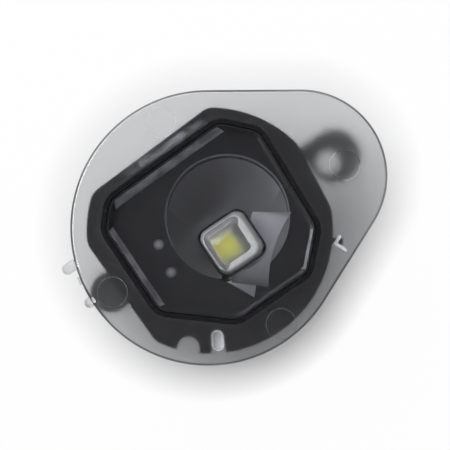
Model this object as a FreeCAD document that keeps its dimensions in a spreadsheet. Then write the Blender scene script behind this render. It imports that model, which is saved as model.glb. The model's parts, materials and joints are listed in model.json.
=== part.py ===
"""Puddle light: a smoked lens plate welded on a black cup with a light source inside.

Frame: millimetres, +Z up out of the lens. The origin is the centre of the connector's mouth,
on the axis of the lens's round lobe, in the plane that the lamp rests on.
"""
import FreeCAD
import Part
import Sketcher

import math
import os
import re

SIZES = {
    # lens plate
    "lobe_radius": 22.0,
    "tip_radius": 13.8,
    "tip_x": 16.95,
    "tip_y": -1.36,
    "lens_thickness": 2.5,
    "crown_radius": 400.0,
    "crown_x": 4.4,
    "lens_edge_round": 0.5,
    "lens_gap": 0.6,
    "groove_depth": 0.4,
    "groove_clearance": 0.25,
    "mark_radius": 2.5,
    "mark_depth": 0.12,
    "mark_west_inset": 3.6,
    "mark_west_turn": 180.0,
    "mark_south_inset": 2.76,
    "mark_south_turn": 273.6,
    "mark_north_inset": 3.46,
    "mark_north_turn": 80.7,
    "mark_east_inset": 7.05,
    "mark_east_y": -3.8,
    "tab_proud": 1.2,
    "tab_width": 1.8,
    "tab_drop": 1.0,
    "tab_thickness": 1.9,
    "tab_upper_bite": 1.06,
    "tab_upper_y": 7.0,
    "tab_lower_bite": 0.14,
    "tab_lower_y": 0.6,
    "gate_turn": 168.6,
    "gate_width": 1.3,
    "gate_proud": 0.3,
    "gate_height": 1.2,
    "peg_turn": 241.2,
    "peg_distance": 18.0,
    "peg_length": 3.3,
    "peg_width": 1.9,
    "peg_drop": 3.2,
    "peg_clearance": 0.2,
    "rib_x": 15.2,
    "rib_y": -13.2,
    "rib_turn": -66.4,
    "rib_long": 2.4,
    "rib_short": 1.75,
    "rib_width": 0.5,
    "rib_height": 0.4,
    # weld line: eight sides, each with the turn of its outward normal and its distance
    "east_turn": -2.5,
    "east_side": 15.55,
    "northeast_turn": 44.4,
    "northeast_side": 17.4,
    "north_turn": 92.0,
    "north_side": 13.35,
    "northwest_turn": 137.0,
    "northwest_side": 16.75,
    "west_turn": 180.0,
    "west_side": 14.5,
    "southwest_turn": 230.0,
    "southwest_side": 14.65,
    "south_turn": 270.7,
    "south_side": 15.44,
    "southeast_turn": 315.5,
    "southeast_side": 17.6,
    "corner_radius": 3.2,
    "weld_width": 1.0,
    # cup
    "wall": 1.6,
    "wall_draft": 0.4,
    "cup_depth": 12.4,
    "cup_floor": 1.6,
    "flange_radius": 19.65,
    "flange_y": -0.5,
    "flange_thickness": 1.5,
    "flange_north_cut": 3.65,
    "flange_north_turn": 92.8,
    "flange_west_cut": 2.41,
    "flange_west_turn": 181.3,
    "flange_east_cut": 0.85,
    "flange_east_turn": -5.6,
    "flange_corner": 3.0,
    "notch_turn": 226.9,
    "notch_inset": 0.2,
    "notch_radius": 1.85,
    "nub_turn": -39.6,
    "nub_reach": 1.95,
    "nub_width": 1.0,
    "gusset_count": 4,
    "gusset_first_turn": 258.0,
    "gusset_step": 17.0,
    "gusset_drop": 4.5,
    "gusset_width": 1.2,
    "brace_width": 1.0,
    "brace_height": 0.9,
    "brace_offset": 3.6,
    "brace_margin": 2.4,
    # fixing ear and pilot boss
    "ear_x": 23.2,
    "ear_y": -1.6,
    "ear_radius": 4.3,
    "ear_arm_y": 1.25,
    "ear_arm_width": 2.8,
    "ear_hole_x": 21.87,
    "ear_hole_y": -1.98,
    "ear_hole_radius": 1.9,
    "ear_drop": 7.0,
    "ear_thickness": 3.0,
    "ear_gusset_drop": 2.6,
    "ear_gusset_width": 1.6,
    "boss_x": -18.5,
    "boss_y": 0.1,
    "boss_radius": 3.3,
    "boss_drop": 2.5,
    "boss_length": 8.0,
    "boss_web": 4.0,
    "pilot_radius": 1.25,
    "pilot_depth": 6.0,
    # connector
    "shroud_length": 9.0,
    "shroud_wall": 1.4,
    "shroud_corner": 2.2,
    "socket_width": 12.0,
    "socket_height": 8.4,
    "socket_web": 1.0,
    "key_width": 1.2,
    "key_proud": 0.8,
    "key_offset": 3.4,
    "latch_width": 4.0,
    "latch_proud": 1.1,
    "latch_low": 2.0,
    "latch_high": 4.4,
    "terminal_size": 0.64,
    "terminal_pitch": 2.54,
    "terminal_reach": 5.0,
    "terminal_run": 9.3,
    "terminal_proud": 0.9,
    "terminal_lift": 0.5,
    "solder_radius": 1.0,
    "solder_height": 0.7,
    # board and its screws
    "post_height": 1.8,
    "post_radius": 2.4,
    "board_thickness": 1.6,
    "board_gap": 0.6,
    "screw_a_x": -9.9,
    "screw_a_y": 6.4,
    "screw_b_x": 10.6,
    "screw_b_y": 6.2,
    "screw_c_x": -7.3,
    "screw_c_y": -7.1,
    "screw_shank_radius": 1.0,
    "screw_shank_depth": 2.6,
    "screw_spare": 0.3,
    "screw_head_radius": 1.9,
    "screw_head_height": 1.3,
    "screw_slot": 0.6,
    "board_hole_clearance": 0.15,
    "terminal_hole_radius": 0.5,
    # light source
    "led_x": 1.9,
    "led_y": -4.1,
    "led_offset_x": -1.0,
    "led_offset_y": 0.05,
    "led_size": 3.6,
    "led_height": 0.7,
    "led_solder_height": 0.1,
    "led_solder_width": 1.0,
    "phosphor_size": 3.0,
    "phosphor_recess": 0.25,
    "phosphor_proud": 0.05,
    "optic_base": 8.2,
    "optic_shoulder": 7.2,
    "optic_crown": 5.4,
    "optic_lean_x": -0.3,
    "optic_lean_y": 0.1,
    "optic_height": 4.4,
    "optic_bevel": 0.9,
    "optic_corner": 1.6,
    "optic_cavity": 5.9,
    "optic_cavity_depth": 3.3,
    "optic_leg_radius": 0.5,
    "optic_leg_inset": 0.7,
    "optic_leg_length": 1.2,
    "optic_leg_clearance": 0.1,
    "optic_clearance": 0.3,
    # inner frame round the light source
    "bezel_clearance": 0.2,
    "bezel_rim": 0.35,
    "bezel_wall": 1.2,
    "bezel_drop": 0.3,
    "bezel_recess": 3.4,
    "bezel_plate": 1.2,
    "slope_least": 0.45,
    "slope_north": 1.25,
    "slope_west": 0.9,
    "bowl_x": 3.6,
    "bowl_y": -0.2,
    "bowl_radius": 10.0,
    "bowl_throat": 4.4,
    "bowl_wall": 1.2,
    "bowl_lift": 0.4,
    "ramp_near_north_x": 4.7,
    "ramp_near_north_y": 0.1,
    "ramp_far_north_x": 12.5,
    "ramp_far_north_y": -5.3,
    "ramp_far_south_x": 2.8,
    "ramp_far_south_y": -13.2,
    "ramp_near_south_x": -2.9,
    "ramp_near_south_y": -8.2,
    "ramp_turn": -42.0,
    "ramp_end_radius": 20.0,
    "ramp_start": 0.45,
    "ramp_lift": 0.3,
    "ramp_rise": 1.7,
    "ramp_wall": 0.6,
    # small parts on the board
    "chip_length": 3.2,
    "chip_width": 1.6,
    "chip_height": 0.6,
    "chip_row_x": -9.4,
    "chip_row_y": 2.6,
    "chip_row_step": 2.5,
    "diode_length": 4.4,
    "diode_width": 2.7,
    "diode_height": 2.1,
    "diode_lead_width": 1.4,
    "diode_lead_length": 0.5,
    "diode_lead_height": 1.1,
    "diode_a_x": -5.4,
    "diode_a_y": 9.0,
    "diode_b_x": 6.4,
    "diode_b_y": 9.0,
    "cap_length": 2.0,
    "cap_width": 1.25,
    "cap_height": 1.0,
    "cap_a_x": -6.0,
    "cap_a_y": 5.4,
    "cap_b_x": 12.0,
    "cap_b_y": 0.6,
    # breather in the cup's floor
    "vent_x": -10.6,
    "vent_y": -3.6,
    "vent_hole_radius": 0.8,
    "vent_recess_radius": 3.0,
    "vent_recess_depth": 0.5,
    "vent_clearance": 0.15,
    "vent_thickness": 0.3,
}

COMPASS = ("east", "northeast", "north", "northwest", "west", "southwest", "south", "southeast")
SCREWS = ("a", "b", "c")
MARKS = ("west", "south", "north")
STEEP = {"north": "slope_north", "northwest": "slope_least", "west": "slope_west"}

# heights above the rest plane, as formulas of the driving sizes
CUP_FLOOR_TOP = "(shroud_length + cup_floor)"
BOARD_UNDER = "(shroud_length + cup_floor + post_height)"
BOARD_TOP = "(shroud_length + cup_floor + post_height + board_thickness)"
FLANGE_TOP = "(shroud_length + cup_depth)"
LENS_BACK = "(shroud_length + cup_depth + lens_gap)"
BEZEL_TOP = f"({LENS_BACK} - bezel_drop)"
BEZEL_FLOOR = f"({LENS_BACK} - bezel_recess)"
BOWL_BASE = f"({BOARD_TOP} + bowl_lift)"
RAMP_FOOT = f"({BOWL_BASE} + ramp_lift)"
RAMP_TOP = f"({RAMP_FOOT} + ramp_rise)"
LED_BASE = f"({BOARD_TOP} + led_solder_height)"
LED_SPOT = ("(led_x + led_offset_x)", "(led_y + led_offset_y)")
SOCKET_END = "(shroud_length + cup_floor - socket_web)"
EAR_TOP = f"({LENS_BACK} - ear_drop)"
EAR_UNDER = f"({EAR_TOP} - ear_thickness)"
BOSS_TOP = f"({LENS_BACK} - boss_drop)"
BOSS_UNDER = f"({BOSS_TOP} - boss_length)"
TERMINAL_BEND = f"({CUP_FLOOR_TOP} + terminal_lift)"

# distances outwards from the weld line, as formulas of the driving sizes
CUP_INSIDE = "(-weld_width / 2)"
CUP_OUTSIDE = "(wall - weld_width / 2)"
BOARD_EDGE = "(-weld_width / 2 - wall_draft - board_gap)"
BEZEL_OUTSIDE = "(-weld_width / 2 - bezel_clearance)"
BEZEL_FOOT = "(-weld_width / 2 - bezel_clearance - wall_draft)"
BEZEL_LIP = "(-weld_width / 2 - bezel_clearance - bezel_rim)"

doc = FreeCAD.newDocument("puddle_light")
sheet = doc.addObject("Spreadsheet::Sheet", "Sizes")


def fill_sheet():
    """Puts each driving size in a cell of its own, under its name."""
    for row, (name, size) in enumerate(SIZES.items(), start=1):
        sheet.set(f"A{row}", name)
        sheet.set(f"B{row}", str(size))
        sheet.setAlias(f"B{row}", name)
    doc.recompute()


def formula(text):
    """Turns a formula of size names into one of the sheet's cells."""
    def to_cell(found):
        word = found.group(0)
        return f"Sizes.{word}" if word in SIZES else word
    return re.sub(r"[A-Za-z_][A-Za-z_0-9]*", to_cell, text)


def value(text):
    """The present value of a formula of size names."""
    return float(sheet.evalExpression(formula(text)))


def bind(target, prop, text):
    """Ties a property of an object to a formula of size names."""
    target.setExpression(prop, formula(text))


def place(target, x, y, z, turn=None):
    """Ties an object's place, and its turn about Z, to formulas."""
    if turn is not None:
        target.Placement.Rotation = FreeCAD.Rotation(FreeCAD.Vector(0, 0, 1), value(turn))
        bind(target, "Placement.Rotation.Angle", f"({turn}) * 1 deg")
    bind(target, "Placement.Base.x", x)
    bind(target, "Placement.Base.y", y)
    bind(target, "Placement.Base.z", z)


def new_body(label):
    """An empty body under its own label."""
    body = doc.addObject("PartDesign::Body", label)
    body.Label = label
    return body


def new_sketch(body, name, height="0", role="XY_Plane"):
    """A sketch on one of the body's base planes, lifted along the plane's normal."""
    sketch = body.newObject("Sketcher::SketchObject", name)
    base = [feature for feature in body.Origin.OriginFeatures if feature.Role == role]
    sketch.AttachmentSupport = [(base[0], "")]
    sketch.MapMode = "FlatFace"
    bind(sketch, "AttachmentOffset.Base.z", height)
    return sketch


def hold(sketch, kind, *where, size):
    """Adds a dimension to a sketch and ties it to a formula."""
    angle = kind == "Angle"
    amount = math.radians(value(size)) if angle else value(size)
    index = sketch.addConstraint(Sketcher.Constraint(kind, *where, amount))
    sketch.setExpression(f"Constraints[{index}]", formula(f"({size}) * 1 deg" if angle else size))


def hold_point(sketch, geometry, end, x, y):
    """Ties a point of a sketch to two coordinates."""
    hold(sketch, "DistanceX", -1, 1, geometry, end, size=x)
    hold(sketch, "DistanceY", -1, 1, geometry, end, size=y)


def add_circle(sketch, x, y, radius):
    """A circle with its centre and radius tied to formulas."""
    centre = FreeCAD.Vector(value(x), value(y), 0)
    circle = sketch.addGeometry(Part.Circle(centre, FreeCAD.Vector(0, 0, 1), value(radius)))
    hold_point(sketch, circle, 3, x, y)
    hold(sketch, "Radius", circle, size=radius)
    return circle


def add_polygon(sketch, corners):
    """A closed polygon; each corner is a pair of formulas."""
    points = [FreeCAD.Vector(value(x), value(y), 0) for x, y in corners]
    first = sketch.GeometryCount
    count = len(points)
    for index, point in enumerate(points):
        sketch.addGeometry(Part.LineSegment(point, points[(index + 1) % count]))
    for index in range(count):
        following = first + (index + 1) % count
        sketch.addConstraint(Sketcher.Constraint("Coincident", first + index, 2, following, 1))
        hold_point(sketch, first + index, 1, *corners[index])
    return first


def add_box(sketch, x, y, width, height):
    """An upright rectangle about a centre."""
    west, east = f"{x} - {width} / 2", f"{x} + {width} / 2"
    south, north = f"{y} - {height} / 2", f"{y} + {height} / 2"
    return add_polygon(sketch, [(west, south), (east, south), (east, north), (west, north)])


def add_rounded(sketch, sides, radius):
    """A convex outline about the sketch's origin with rounded corners.

    Each side is a pair of formulas: the turn of its outward normal in degrees, rising from side to
    side, and its distance from the origin. The radius is one formula for all corners.
    """
    turns = [value(turn) for turn, _ in sides]
    normals = [FreeCAD.Vector(math.cos(math.radians(t)), math.sin(math.radians(t)), 0) for t in turns]
    reach = [value(distance) for _, distance in sides]
    count = len(sides)
    rounding = value(radius)
    up = FreeCAD.Vector(0, 0, 1)
    centres = []
    for index in range(count):
        one, two = normals[index], normals[(index + 1) % count]
        near, far = reach[index] - rounding, reach[(index + 1) % count] - rounding
        cross = one.x * two.y - one.y * two.x
        x = (near * two.y - far * one.y) / cross
        y = (far * one.x - near * two.x) / cross
        centres.append(FreeCAD.Vector(x, y, 0))
    first = sketch.GeometryCount
    for index in range(count):
        following = (index + 1) % count
        normal = normals[index]
        start = centres[index - 1] + normal * rounding
        sketch.addGeometry(Part.LineSegment(start, centres[index] + normal * rounding))
        circle = Part.Circle(centres[index], up, rounding)
        begin = math.radians(turns[index])
        sweep = math.radians((turns[following] - turns[index]) % 360)
        sketch.addGeometry(Part.ArcOfCircle(circle, begin, begin + sweep))
    for index in range(count):
        line, arc = first + 2 * index, first + 2 * index + 1
        following = first + 2 * ((index + 1) % count)
        sketch.addConstraint(Sketcher.Constraint("Tangent", line, 2, arc, 1))
        sketch.addConstraint(Sketcher.Constraint("Tangent", arc, 2, following, 1))
        hold(sketch, "Radius", arc, size=radius)
    for index, (turn, distance) in enumerate(sides):
        heading = turns[index] + 90
        wrap = f"{turn} + 90" if heading <= 180 else f"{turn} - 270"
        hold(sketch, "Angle", first + 2 * index, size=wrap)
        hold(sketch, "Distance", -1, 1, first + 2 * index, size=distance)
    return first


def octagon(grow, extra=None):
    """The weld line's eight sides, moved outwards by a formula; extra moves single sides inwards."""
    sides = []
    for name in COMPASS:
        inset = f" - {extra.get(name, 'slope_least')}" if extra else ""
        sides.append((f"{name}_turn", f"{name}_side + {grow}{inset}"))
    return sides


def octagon_sketch(body, name, height, grow, extra=None):
    """A sketch of the weld line's outline, moved outwards by a formula."""
    sketch = new_sketch(body, name, height)
    add_rounded(sketch, octagon(grow, extra), f"corner_radius + {grow}")
    return sketch


def pad(body, sketch, name, length, down=False, both=False):
    """Adds material along the sketch's normal, or against it."""
    feature = body.newObject("PartDesign::Pad", name)
    feature.Profile = sketch
    bind(feature, "Length", length)
    feature.Reversed = down
    if both:
        feature.SideType = "Symmetric"
    doc.recompute()
    return feature


def pocket(body, sketch, name, depth, up=False, both=False):
    """Takes material away against the sketch's normal, or along it."""
    feature = body.newObject("PartDesign::Pocket", name)
    feature.Profile = sketch
    bind(feature, "Length", depth)
    feature.Reversed = up
    if both:
        feature.SideType = "Symmetric"
    doc.recompute()
    return feature


def loft(body, name, profile, section, cut=False):
    """Adds or takes away a straight-sided loft between two sketches."""
    kind = "PartDesign::SubtractiveLoft" if cut else "PartDesign::AdditiveLoft"
    feature = body.newObject(kind, name)
    feature.Profile = profile
    feature.Sections = [section]
    feature.Ruled = True
    doc.recompute()
    return feature


def round_edges(body, name, radius, chosen):
    """Rounds the edges of the body's last feature that a test picks out."""
    base = body.Tip
    edges = [f"Edge{i}" for i, edge in enumerate(base.Shape.Edges, start=1) if chosen(edge)]
    feature = body.newObject("PartDesign::Fillet", name)
    feature.Base = (base, edges)
    bind(feature, "Radius", radius)
    doc.recompute()
    return feature


def upright(edge):
    """True for a straight edge that runs along Z."""
    if edge.Curve.TypeId != "Part::GeomLine":
        return False
    return abs(abs(edge.tangentAt(edge.FirstParameter).z) - 1) < 1e-6


def polar(distance, turn):
    """The pair of formulas for a point at a distance and a turn about the origin."""
    return f"{distance} * cos({turn} * 1 deg)", f"{distance} * sin({turn} * 1 deg)"


def turned(origin, turn, along, across):
    """The pair of formulas for a point in a turned frame at an origin."""
    x = f"{origin[0]} + ({along}) * cos({turn} * 1 deg) - ({across}) * sin({turn} * 1 deg)"
    y = f"{origin[1]} + ({along}) * sin({turn} * 1 deg) + ({across}) * cos({turn} * 1 deg)"
    return x, y


def add_turned_box(sketch, origin, turn, start, end, width):
    """A rectangle from start to end along a turned line through an origin."""
    left, right = f"{width} / 2", f"-{width} / 2"
    shape = ((start, right), (end, right), (end, left), (start, left))
    return add_polygon(sketch, [turned(origin, turn, along, across) for along, across in shape])


def add_lens_outline(sketch):
    """The egg-shaped outline: two arcs and the two lines that touch both."""
    lobe, tip = value("lobe_radius"), value("tip_radius")
    middle = FreeCAD.Vector(value("tip_x"), value("tip_y"), 0)
    turn = math.atan2(middle.y, middle.x)
    lean = math.acos((lobe - tip) / middle.Length)
    up = FreeCAD.Vector(0, 0, 1)
    high = FreeCAD.Vector(math.cos(turn + lean), math.sin(turn + lean), 0)
    low = FreeCAD.Vector(math.cos(turn - lean), math.sin(turn - lean), 0)
    big = Part.Circle(FreeCAD.Vector(0, 0, 0), up, lobe)
    small = Part.Circle(middle, up, tip)
    outline = [
        Part.ArcOfCircle(big, turn + lean, turn - lean + 2 * math.pi),
        Part.LineSegment(low * lobe, middle + low * tip),
        Part.ArcOfCircle(small, turn - lean, turn + lean),
        Part.LineSegment(middle + high * tip, high * lobe),
    ]
    for piece in outline:
        sketch.addGeometry(piece)
    for index in range(4):
        sketch.addConstraint(Sketcher.Constraint("Tangent", index, 2, (index + 1) % 4, 1))
    sketch.addConstraint(Sketcher.Constraint("Coincident", 0, 3, -1, 1))
    hold(sketch, "Radius", 0, size="lobe_radius")
    hold(sketch, "Radius", 2, size="tip_radius")
    hold_point(sketch, 2, 3, "tip_x", "tip_y")


def add_slot(sketch, origin, turn, start, end, width):
    """A long hole with round ends, from start to end along a turned line."""
    half = value(width) / 2
    heading = math.radians(value(turn))
    base = FreeCAD.Vector(value(origin[0]), value(origin[1]), 0)
    along = FreeCAD.Vector(math.cos(heading), math.sin(heading), 0)
    across = FreeCAD.Vector(-along.y, along.x, 0)
    near, far = base + along * value(start), base + along * value(end)
    up = FreeCAD.Vector(0, 0, 1)
    quarter = math.pi / 2
    first = sketch.GeometryCount
    near_arc = Part.ArcOfCircle(Part.Circle(near, up, half), heading + quarter, heading + 3 * quarter)
    far_arc = Part.ArcOfCircle(Part.Circle(far, up, half), heading - quarter, heading + quarter)
    sketch.addGeometry(near_arc)
    sketch.addGeometry(Part.LineSegment(near - across * half, far - across * half))
    sketch.addGeometry(far_arc)
    sketch.addGeometry(Part.LineSegment(far + across * half, near + across * half))
    for index in range(4):
        following = first + (index + 1) % 4
        sketch.addConstraint(Sketcher.Constraint("Tangent", first + index, 2, following, 1))
    hold(sketch, "Radius", first, size=f"{width} / 2")
    hold_point(sketch, first, 3, *turned(origin, turn, start, "0"))
    hold_point(sketch, first + 2, 3, *turned(origin, turn, end, "0"))


def add_ring(sketch, outer, inner):
    """Two nested outlines of the weld line."""
    add_rounded(sketch, octagon(outer), f"corner_radius + {outer}")
    add_rounded(sketch, octagon(inner), f"corner_radius + {inner}")


def build_lens():
    """The smoked plate with its crown, weld groove, marks, tabs, peg and rib."""
    body = new_body("lens_cover")
    outline = new_sketch(body, "lens_outline", LENS_BACK)
    add_lens_outline(outline)
    pad(body, outline, "lens_plate", "lens_thickness")

    crown = new_sketch(body, "lens_crown_profile", "0", "XZ_Plane")
    bind(crown, "AttachmentOffset.Base.x", "crown_x")
    top = f"({LENS_BACK} + lens_thickness)"
    add_crown(crown, top)
    cut = body.newObject("PartDesign::Groove", "lens_crown")
    cut.Profile = crown
    cut.ReferenceAxis = (crown, ["V_Axis"])
    doc.recompute()

    back = value(LENS_BACK)
    round_edges(body, "lens_edge", "lens_edge_round", lambda edge: edge.BoundBox.ZMin > back + 0.1)

    groove = new_sketch(body, "groove_outline", LENS_BACK)
    add_ring(groove, "(weld_width / 2 + groove_clearance)", "(-weld_width / 2 - groove_clearance)")
    pocket(body, groove, "weld_groove", "groove_depth", up=True)

    marks = new_sketch(body, "mark_outline", LENS_BACK)
    for name in MARKS:
        spot = polar(f"(lobe_radius - mark_{name}_inset)", f"mark_{name}_turn")
        add_circle(marks, *spot, "mark_radius")
    add_circle(marks, "tip_x + tip_radius - mark_east_inset", "mark_east_y", "mark_radius")
    pocket(body, marks, "ejector_marks", "mark_depth", up=True)

    tabs = new_sketch(body, "tab_outline", f"{LENS_BACK} - tab_drop")
    for tab in ("tab_upper", "tab_lower"):
        root = f"(sqrt(lobe_radius ^ 2 - {tab}_y ^ 2) - {tab}_bite)"
        reach = f"lobe_radius + tab_proud - tab_width / 2 - {root}"
        add_slot(tabs, (f"-{root}", f"{tab}_y"), "180", "0", reach, "tab_width")
    pad(body, tabs, "locating_tabs", "tab_thickness")

    gate = new_sketch(body, "gate_outline", LENS_BACK)
    edge = polar("lobe_radius", "gate_turn")
    add_turned_box(gate, edge, "gate_turn", "-gate_proud", "gate_proud", "gate_width")
    pad(body, gate, "gate_stub", "gate_height")

    peg = new_sketch(body, "peg_outline", LENS_BACK)
    half = "(peg_length / 2 - peg_width / 2)"
    add_slot(peg, polar("peg_distance", "peg_turn"), "peg_turn", f"-{half}", half, "peg_width")
    pad(body, peg, "locating_peg", "peg_drop", down=True)

    rib = new_sketch(body, "rib_outline", LENS_BACK)
    shape = [("0", "0"), ("rib_long", "0"), ("rib_long", "rib_width"), ("rib_width", "rib_width"),
             ("rib_width", "rib_short"), ("0", "rib_short")]
    add_polygon(rib, [turned(("rib_x", "rib_y"), "rib_turn", along, across) for along, across in shape])
    pad(body, rib, "corner_rib", "rib_height", down=True)
    return body


def add_crown(sketch, top):
    """The region above the lens's crown, drawn from its axis outwards."""
    reach = "(lobe_radius + crown_x + tip_x)"
    radius, far, high = value("crown_radius"), value(reach), value(top)
    drop = radius - math.sqrt(radius ** 2 - far ** 2)
    middle = FreeCAD.Vector(0, high - radius, 0)
    arc = Part.Circle(middle, FreeCAD.Vector(0, 0, 1), radius)
    lean = math.asin(far / radius)
    lid = high + value("lens_thickness")
    sketch.addGeometry(Part.ArcOfCircle(arc, math.pi / 2 - lean, math.pi / 2))
    sketch.addGeometry(Part.LineSegment(FreeCAD.Vector(0, high, 0), FreeCAD.Vector(0, lid, 0)))
    sketch.addGeometry(Part.LineSegment(FreeCAD.Vector(0, lid, 0), FreeCAD.Vector(far, lid, 0)))
    sketch.addGeometry(Part.LineSegment(FreeCAD.Vector(far, lid, 0), FreeCAD.Vector(far, high - drop, 0)))
    joins = ((0, 2, 1, 1), (1, 2, 2, 1), (2, 2, 3, 1), (3, 2, 0, 1))
    for join in joins:
        sketch.addConstraint(Sketcher.Constraint("Coincident", *join))
    for geometry, end in ((0, 3), (1, 1), (2, 1)):
        sketch.addConstraint(Sketcher.Constraint("PointOnObject", geometry, end, -2))
    hold(sketch, "Radius", 0, size="crown_radius")
    hold(sketch, "DistanceY", -1, 1, 1, 1, size=top)
    hold(sketch, "DistanceY", -1, 1, 2, 1, size=f"{top} + lens_thickness")
    hold_point(sketch, 3, 1, reach, f"{top} + lens_thickness")
    sketch.addConstraint(Sketcher.Constraint("Vertical", 3))


def add_flange_outline(sketch):
    """A disc cut by three chords."""
    radius = value("flange_radius")
    chords = ("east", "north", "west")
    up = FreeCAD.Vector(0, 0, 1)
    disc = Part.Circle(FreeCAD.Vector(0, 0, 0), up, radius)
    spans = []
    for name in chords:
        turn = value(f"flange_{name}_turn")
        half = math.degrees(math.acos(1 - value(f"flange_{name}_cut") / radius))
        spans.append((turn - half, turn + half))

    def rim(turn):
        return FreeCAD.Vector(radius * math.cos(math.radians(turn)), radius * math.sin(math.radians(turn)), 0)

    for index in range(3):
        begin, end = spans[index]
        following = spans[(index + 1) % 3][0]
        following += 360 if following < end else 0
        sketch.addGeometry(Part.LineSegment(rim(begin), rim(end)))
        sketch.addGeometry(Part.ArcOfCircle(disc, math.radians(end), math.radians(following)))
    for index in range(6):
        sketch.addConstraint(Sketcher.Constraint("Coincident", index, 2, (index + 1) % 6, 1))
    for index, name in enumerate(chords):
        sketch.addConstraint(Sketcher.Constraint("Coincident", 2 * index + 1, 3, -1, 1))
        turn = f"flange_{name}_turn"
        heading = f"{turn} + 90" if value(turn) + 90 <= 180 else f"{turn} - 270"
        hold(sketch, "Angle", 2 * index, size=heading)
        hold(sketch, "Distance", -1, 1, 2 * index, size=f"flange_radius - flange_{name}_cut")
        hold(sketch, "Radius", 2 * index + 1, size="flange_radius")


def build_housing():
    """The black cup: flange, walls, ridge, ear, boss, connector shroud and posts."""
    body = new_body("lamp_housing")
    flange = new_sketch(body, "flange_outline", FLANGE_TOP)
    bind(flange, "AttachmentOffset.Base.y", "flange_y")
    add_flange_outline(flange)
    pad(body, flange, "flange", "flange_thickness", down=True)
    round_edges(body, "flange_corners", "flange_corner", upright)

    nub = new_sketch(body, "nub_outline", FLANGE_TOP)
    root = polar("(flange_radius - nub_width)", "nub_turn")
    add_turned_box(nub, root, "nub_turn", "0", "nub_reach + nub_width", "nub_width")
    pad(body, nub, "flange_nub", "flange_thickness", down=True)

    rim = octagon_sketch(body, "cup_rim_outside", FLANGE_TOP, CUP_OUTSIDE)
    foot = octagon_sketch(body, "cup_foot_outside", "shroud_length", f"({CUP_OUTSIDE} - wall_draft)")
    loft(body, "cup_outside", rim, foot)

    add_ear(body)
    add_boss(body)
    add_flange_gussets(body)

    mouth = octagon_sketch(body, "cup_rim_inside", FLANGE_TOP, CUP_INSIDE)
    deep = octagon_sketch(body, "cup_floor_inside", CUP_FLOOR_TOP, f"({CUP_INSIDE} - wall_draft)")
    loft(body, "cup_inside", mouth, deep, cut=True)

    ridge = new_sketch(body, "ridge_outline", FLANGE_TOP)
    add_ring(ridge, "(weld_width / 2)", "(-weld_width / 2)")
    pad(body, ridge, "weld_ridge", "lens_gap + groove_depth")

    cuts = new_sketch(body, "flange_cuts", FLANGE_TOP)
    add_circle(cuts, *polar("(flange_radius - notch_inset)", "notch_turn"), "notch_radius")
    half = "(peg_length / 2 - peg_width / 2)"
    add_slot(cuts, polar("peg_distance", "peg_turn"), "peg_turn", f"-{half}",
             "flange_radius - peg_distance + peg_width", "(peg_width + 2 * peg_clearance)")
    pocket(body, cuts, "flange_openings", "peg_drop")

    add_shroud(body)
    add_braces(body)
    add_posts(body)
    add_vent(body)
    return body


def add_ear(body):
    """The fixing ear: a round plate on an arm, with an off-centre screw hole and a gusset below."""
    arm = new_sketch(body, "ear_arm_outline", EAR_UNDER)
    start = "(east_side - wall_draft)"
    add_slot(arm, (start, "ear_arm_y"), "0", "0", f"ear_x - {start}", "ear_arm_width")
    pad(body, arm, "ear_arm", "ear_thickness")
    pad(body, circle_sketch(body, "ear_outline", EAR_UNDER, "ear_x", "ear_y", "ear_radius"), "ear",
        "ear_thickness")
    hole = circle_sketch(body, "ear_hole_outline", EAR_TOP, "ear_hole_x", "ear_hole_y", "ear_hole_radius")
    pocket(body, hole, "ear_hole", "ear_thickness")
    gusset = new_sketch(body, "ear_gusset_profile", "-ear_arm_y", "XZ_Plane")
    tip = "ear_x - ear_radius"
    add_polygon(gusset, [(start, EAR_UNDER), (start, f"{EAR_UNDER} - ear_gusset_drop"), (tip, EAR_UNDER)])
    pad(body, gusset, "ear_gusset", "ear_gusset_width", both=True)


def add_boss(body):
    """The boss with a blind pilot hole, joined to the cup by a web."""
    post = new_sketch(body, "boss_outline", BOSS_UNDER)
    add_circle(post, "boss_x", "boss_y", "boss_radius")
    pad(body, post, "boss", "boss_length")
    web = new_sketch(body, "boss_web_outline", BOSS_UNDER)
    inner = "(wall_draft - west_side)"
    south, north = "boss_y - boss_web / 2", "boss_y + boss_web / 2"
    add_polygon(web, [("boss_x", south), (inner, south), (inner, north), ("boss_x", north)])
    pad(body, web, "boss_web", f"{FLANGE_TOP} - flange_thickness - {BOSS_UNDER}")
    hole = new_sketch(body, "pilot_outline", BOSS_UNDER)
    add_circle(hole, "boss_x", "boss_y", "pilot_radius")
    pocket(body, hole, "pilot_hole", "pilot_depth", up=True)


def add_flange_gussets(body):
    """Thin ribs under the flange's round side, from the wall outwards."""
    under = f"({FLANGE_TOP} - flange_thickness)"
    for index in range(round(value("gusset_count"))):
        turn = f"(gusset_first_turn + {index} * gusset_step)"
        sketch = new_sketch(body, f"gusset_outline_{index}", f"{under} - gusset_drop")
        add_turned_box(sketch, ("0", "0"), turn, "south_side", "flange_radius - gusset_width", "gusset_width")
        pad(body, sketch, f"gusset_{index}", "gusset_drop")


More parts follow.
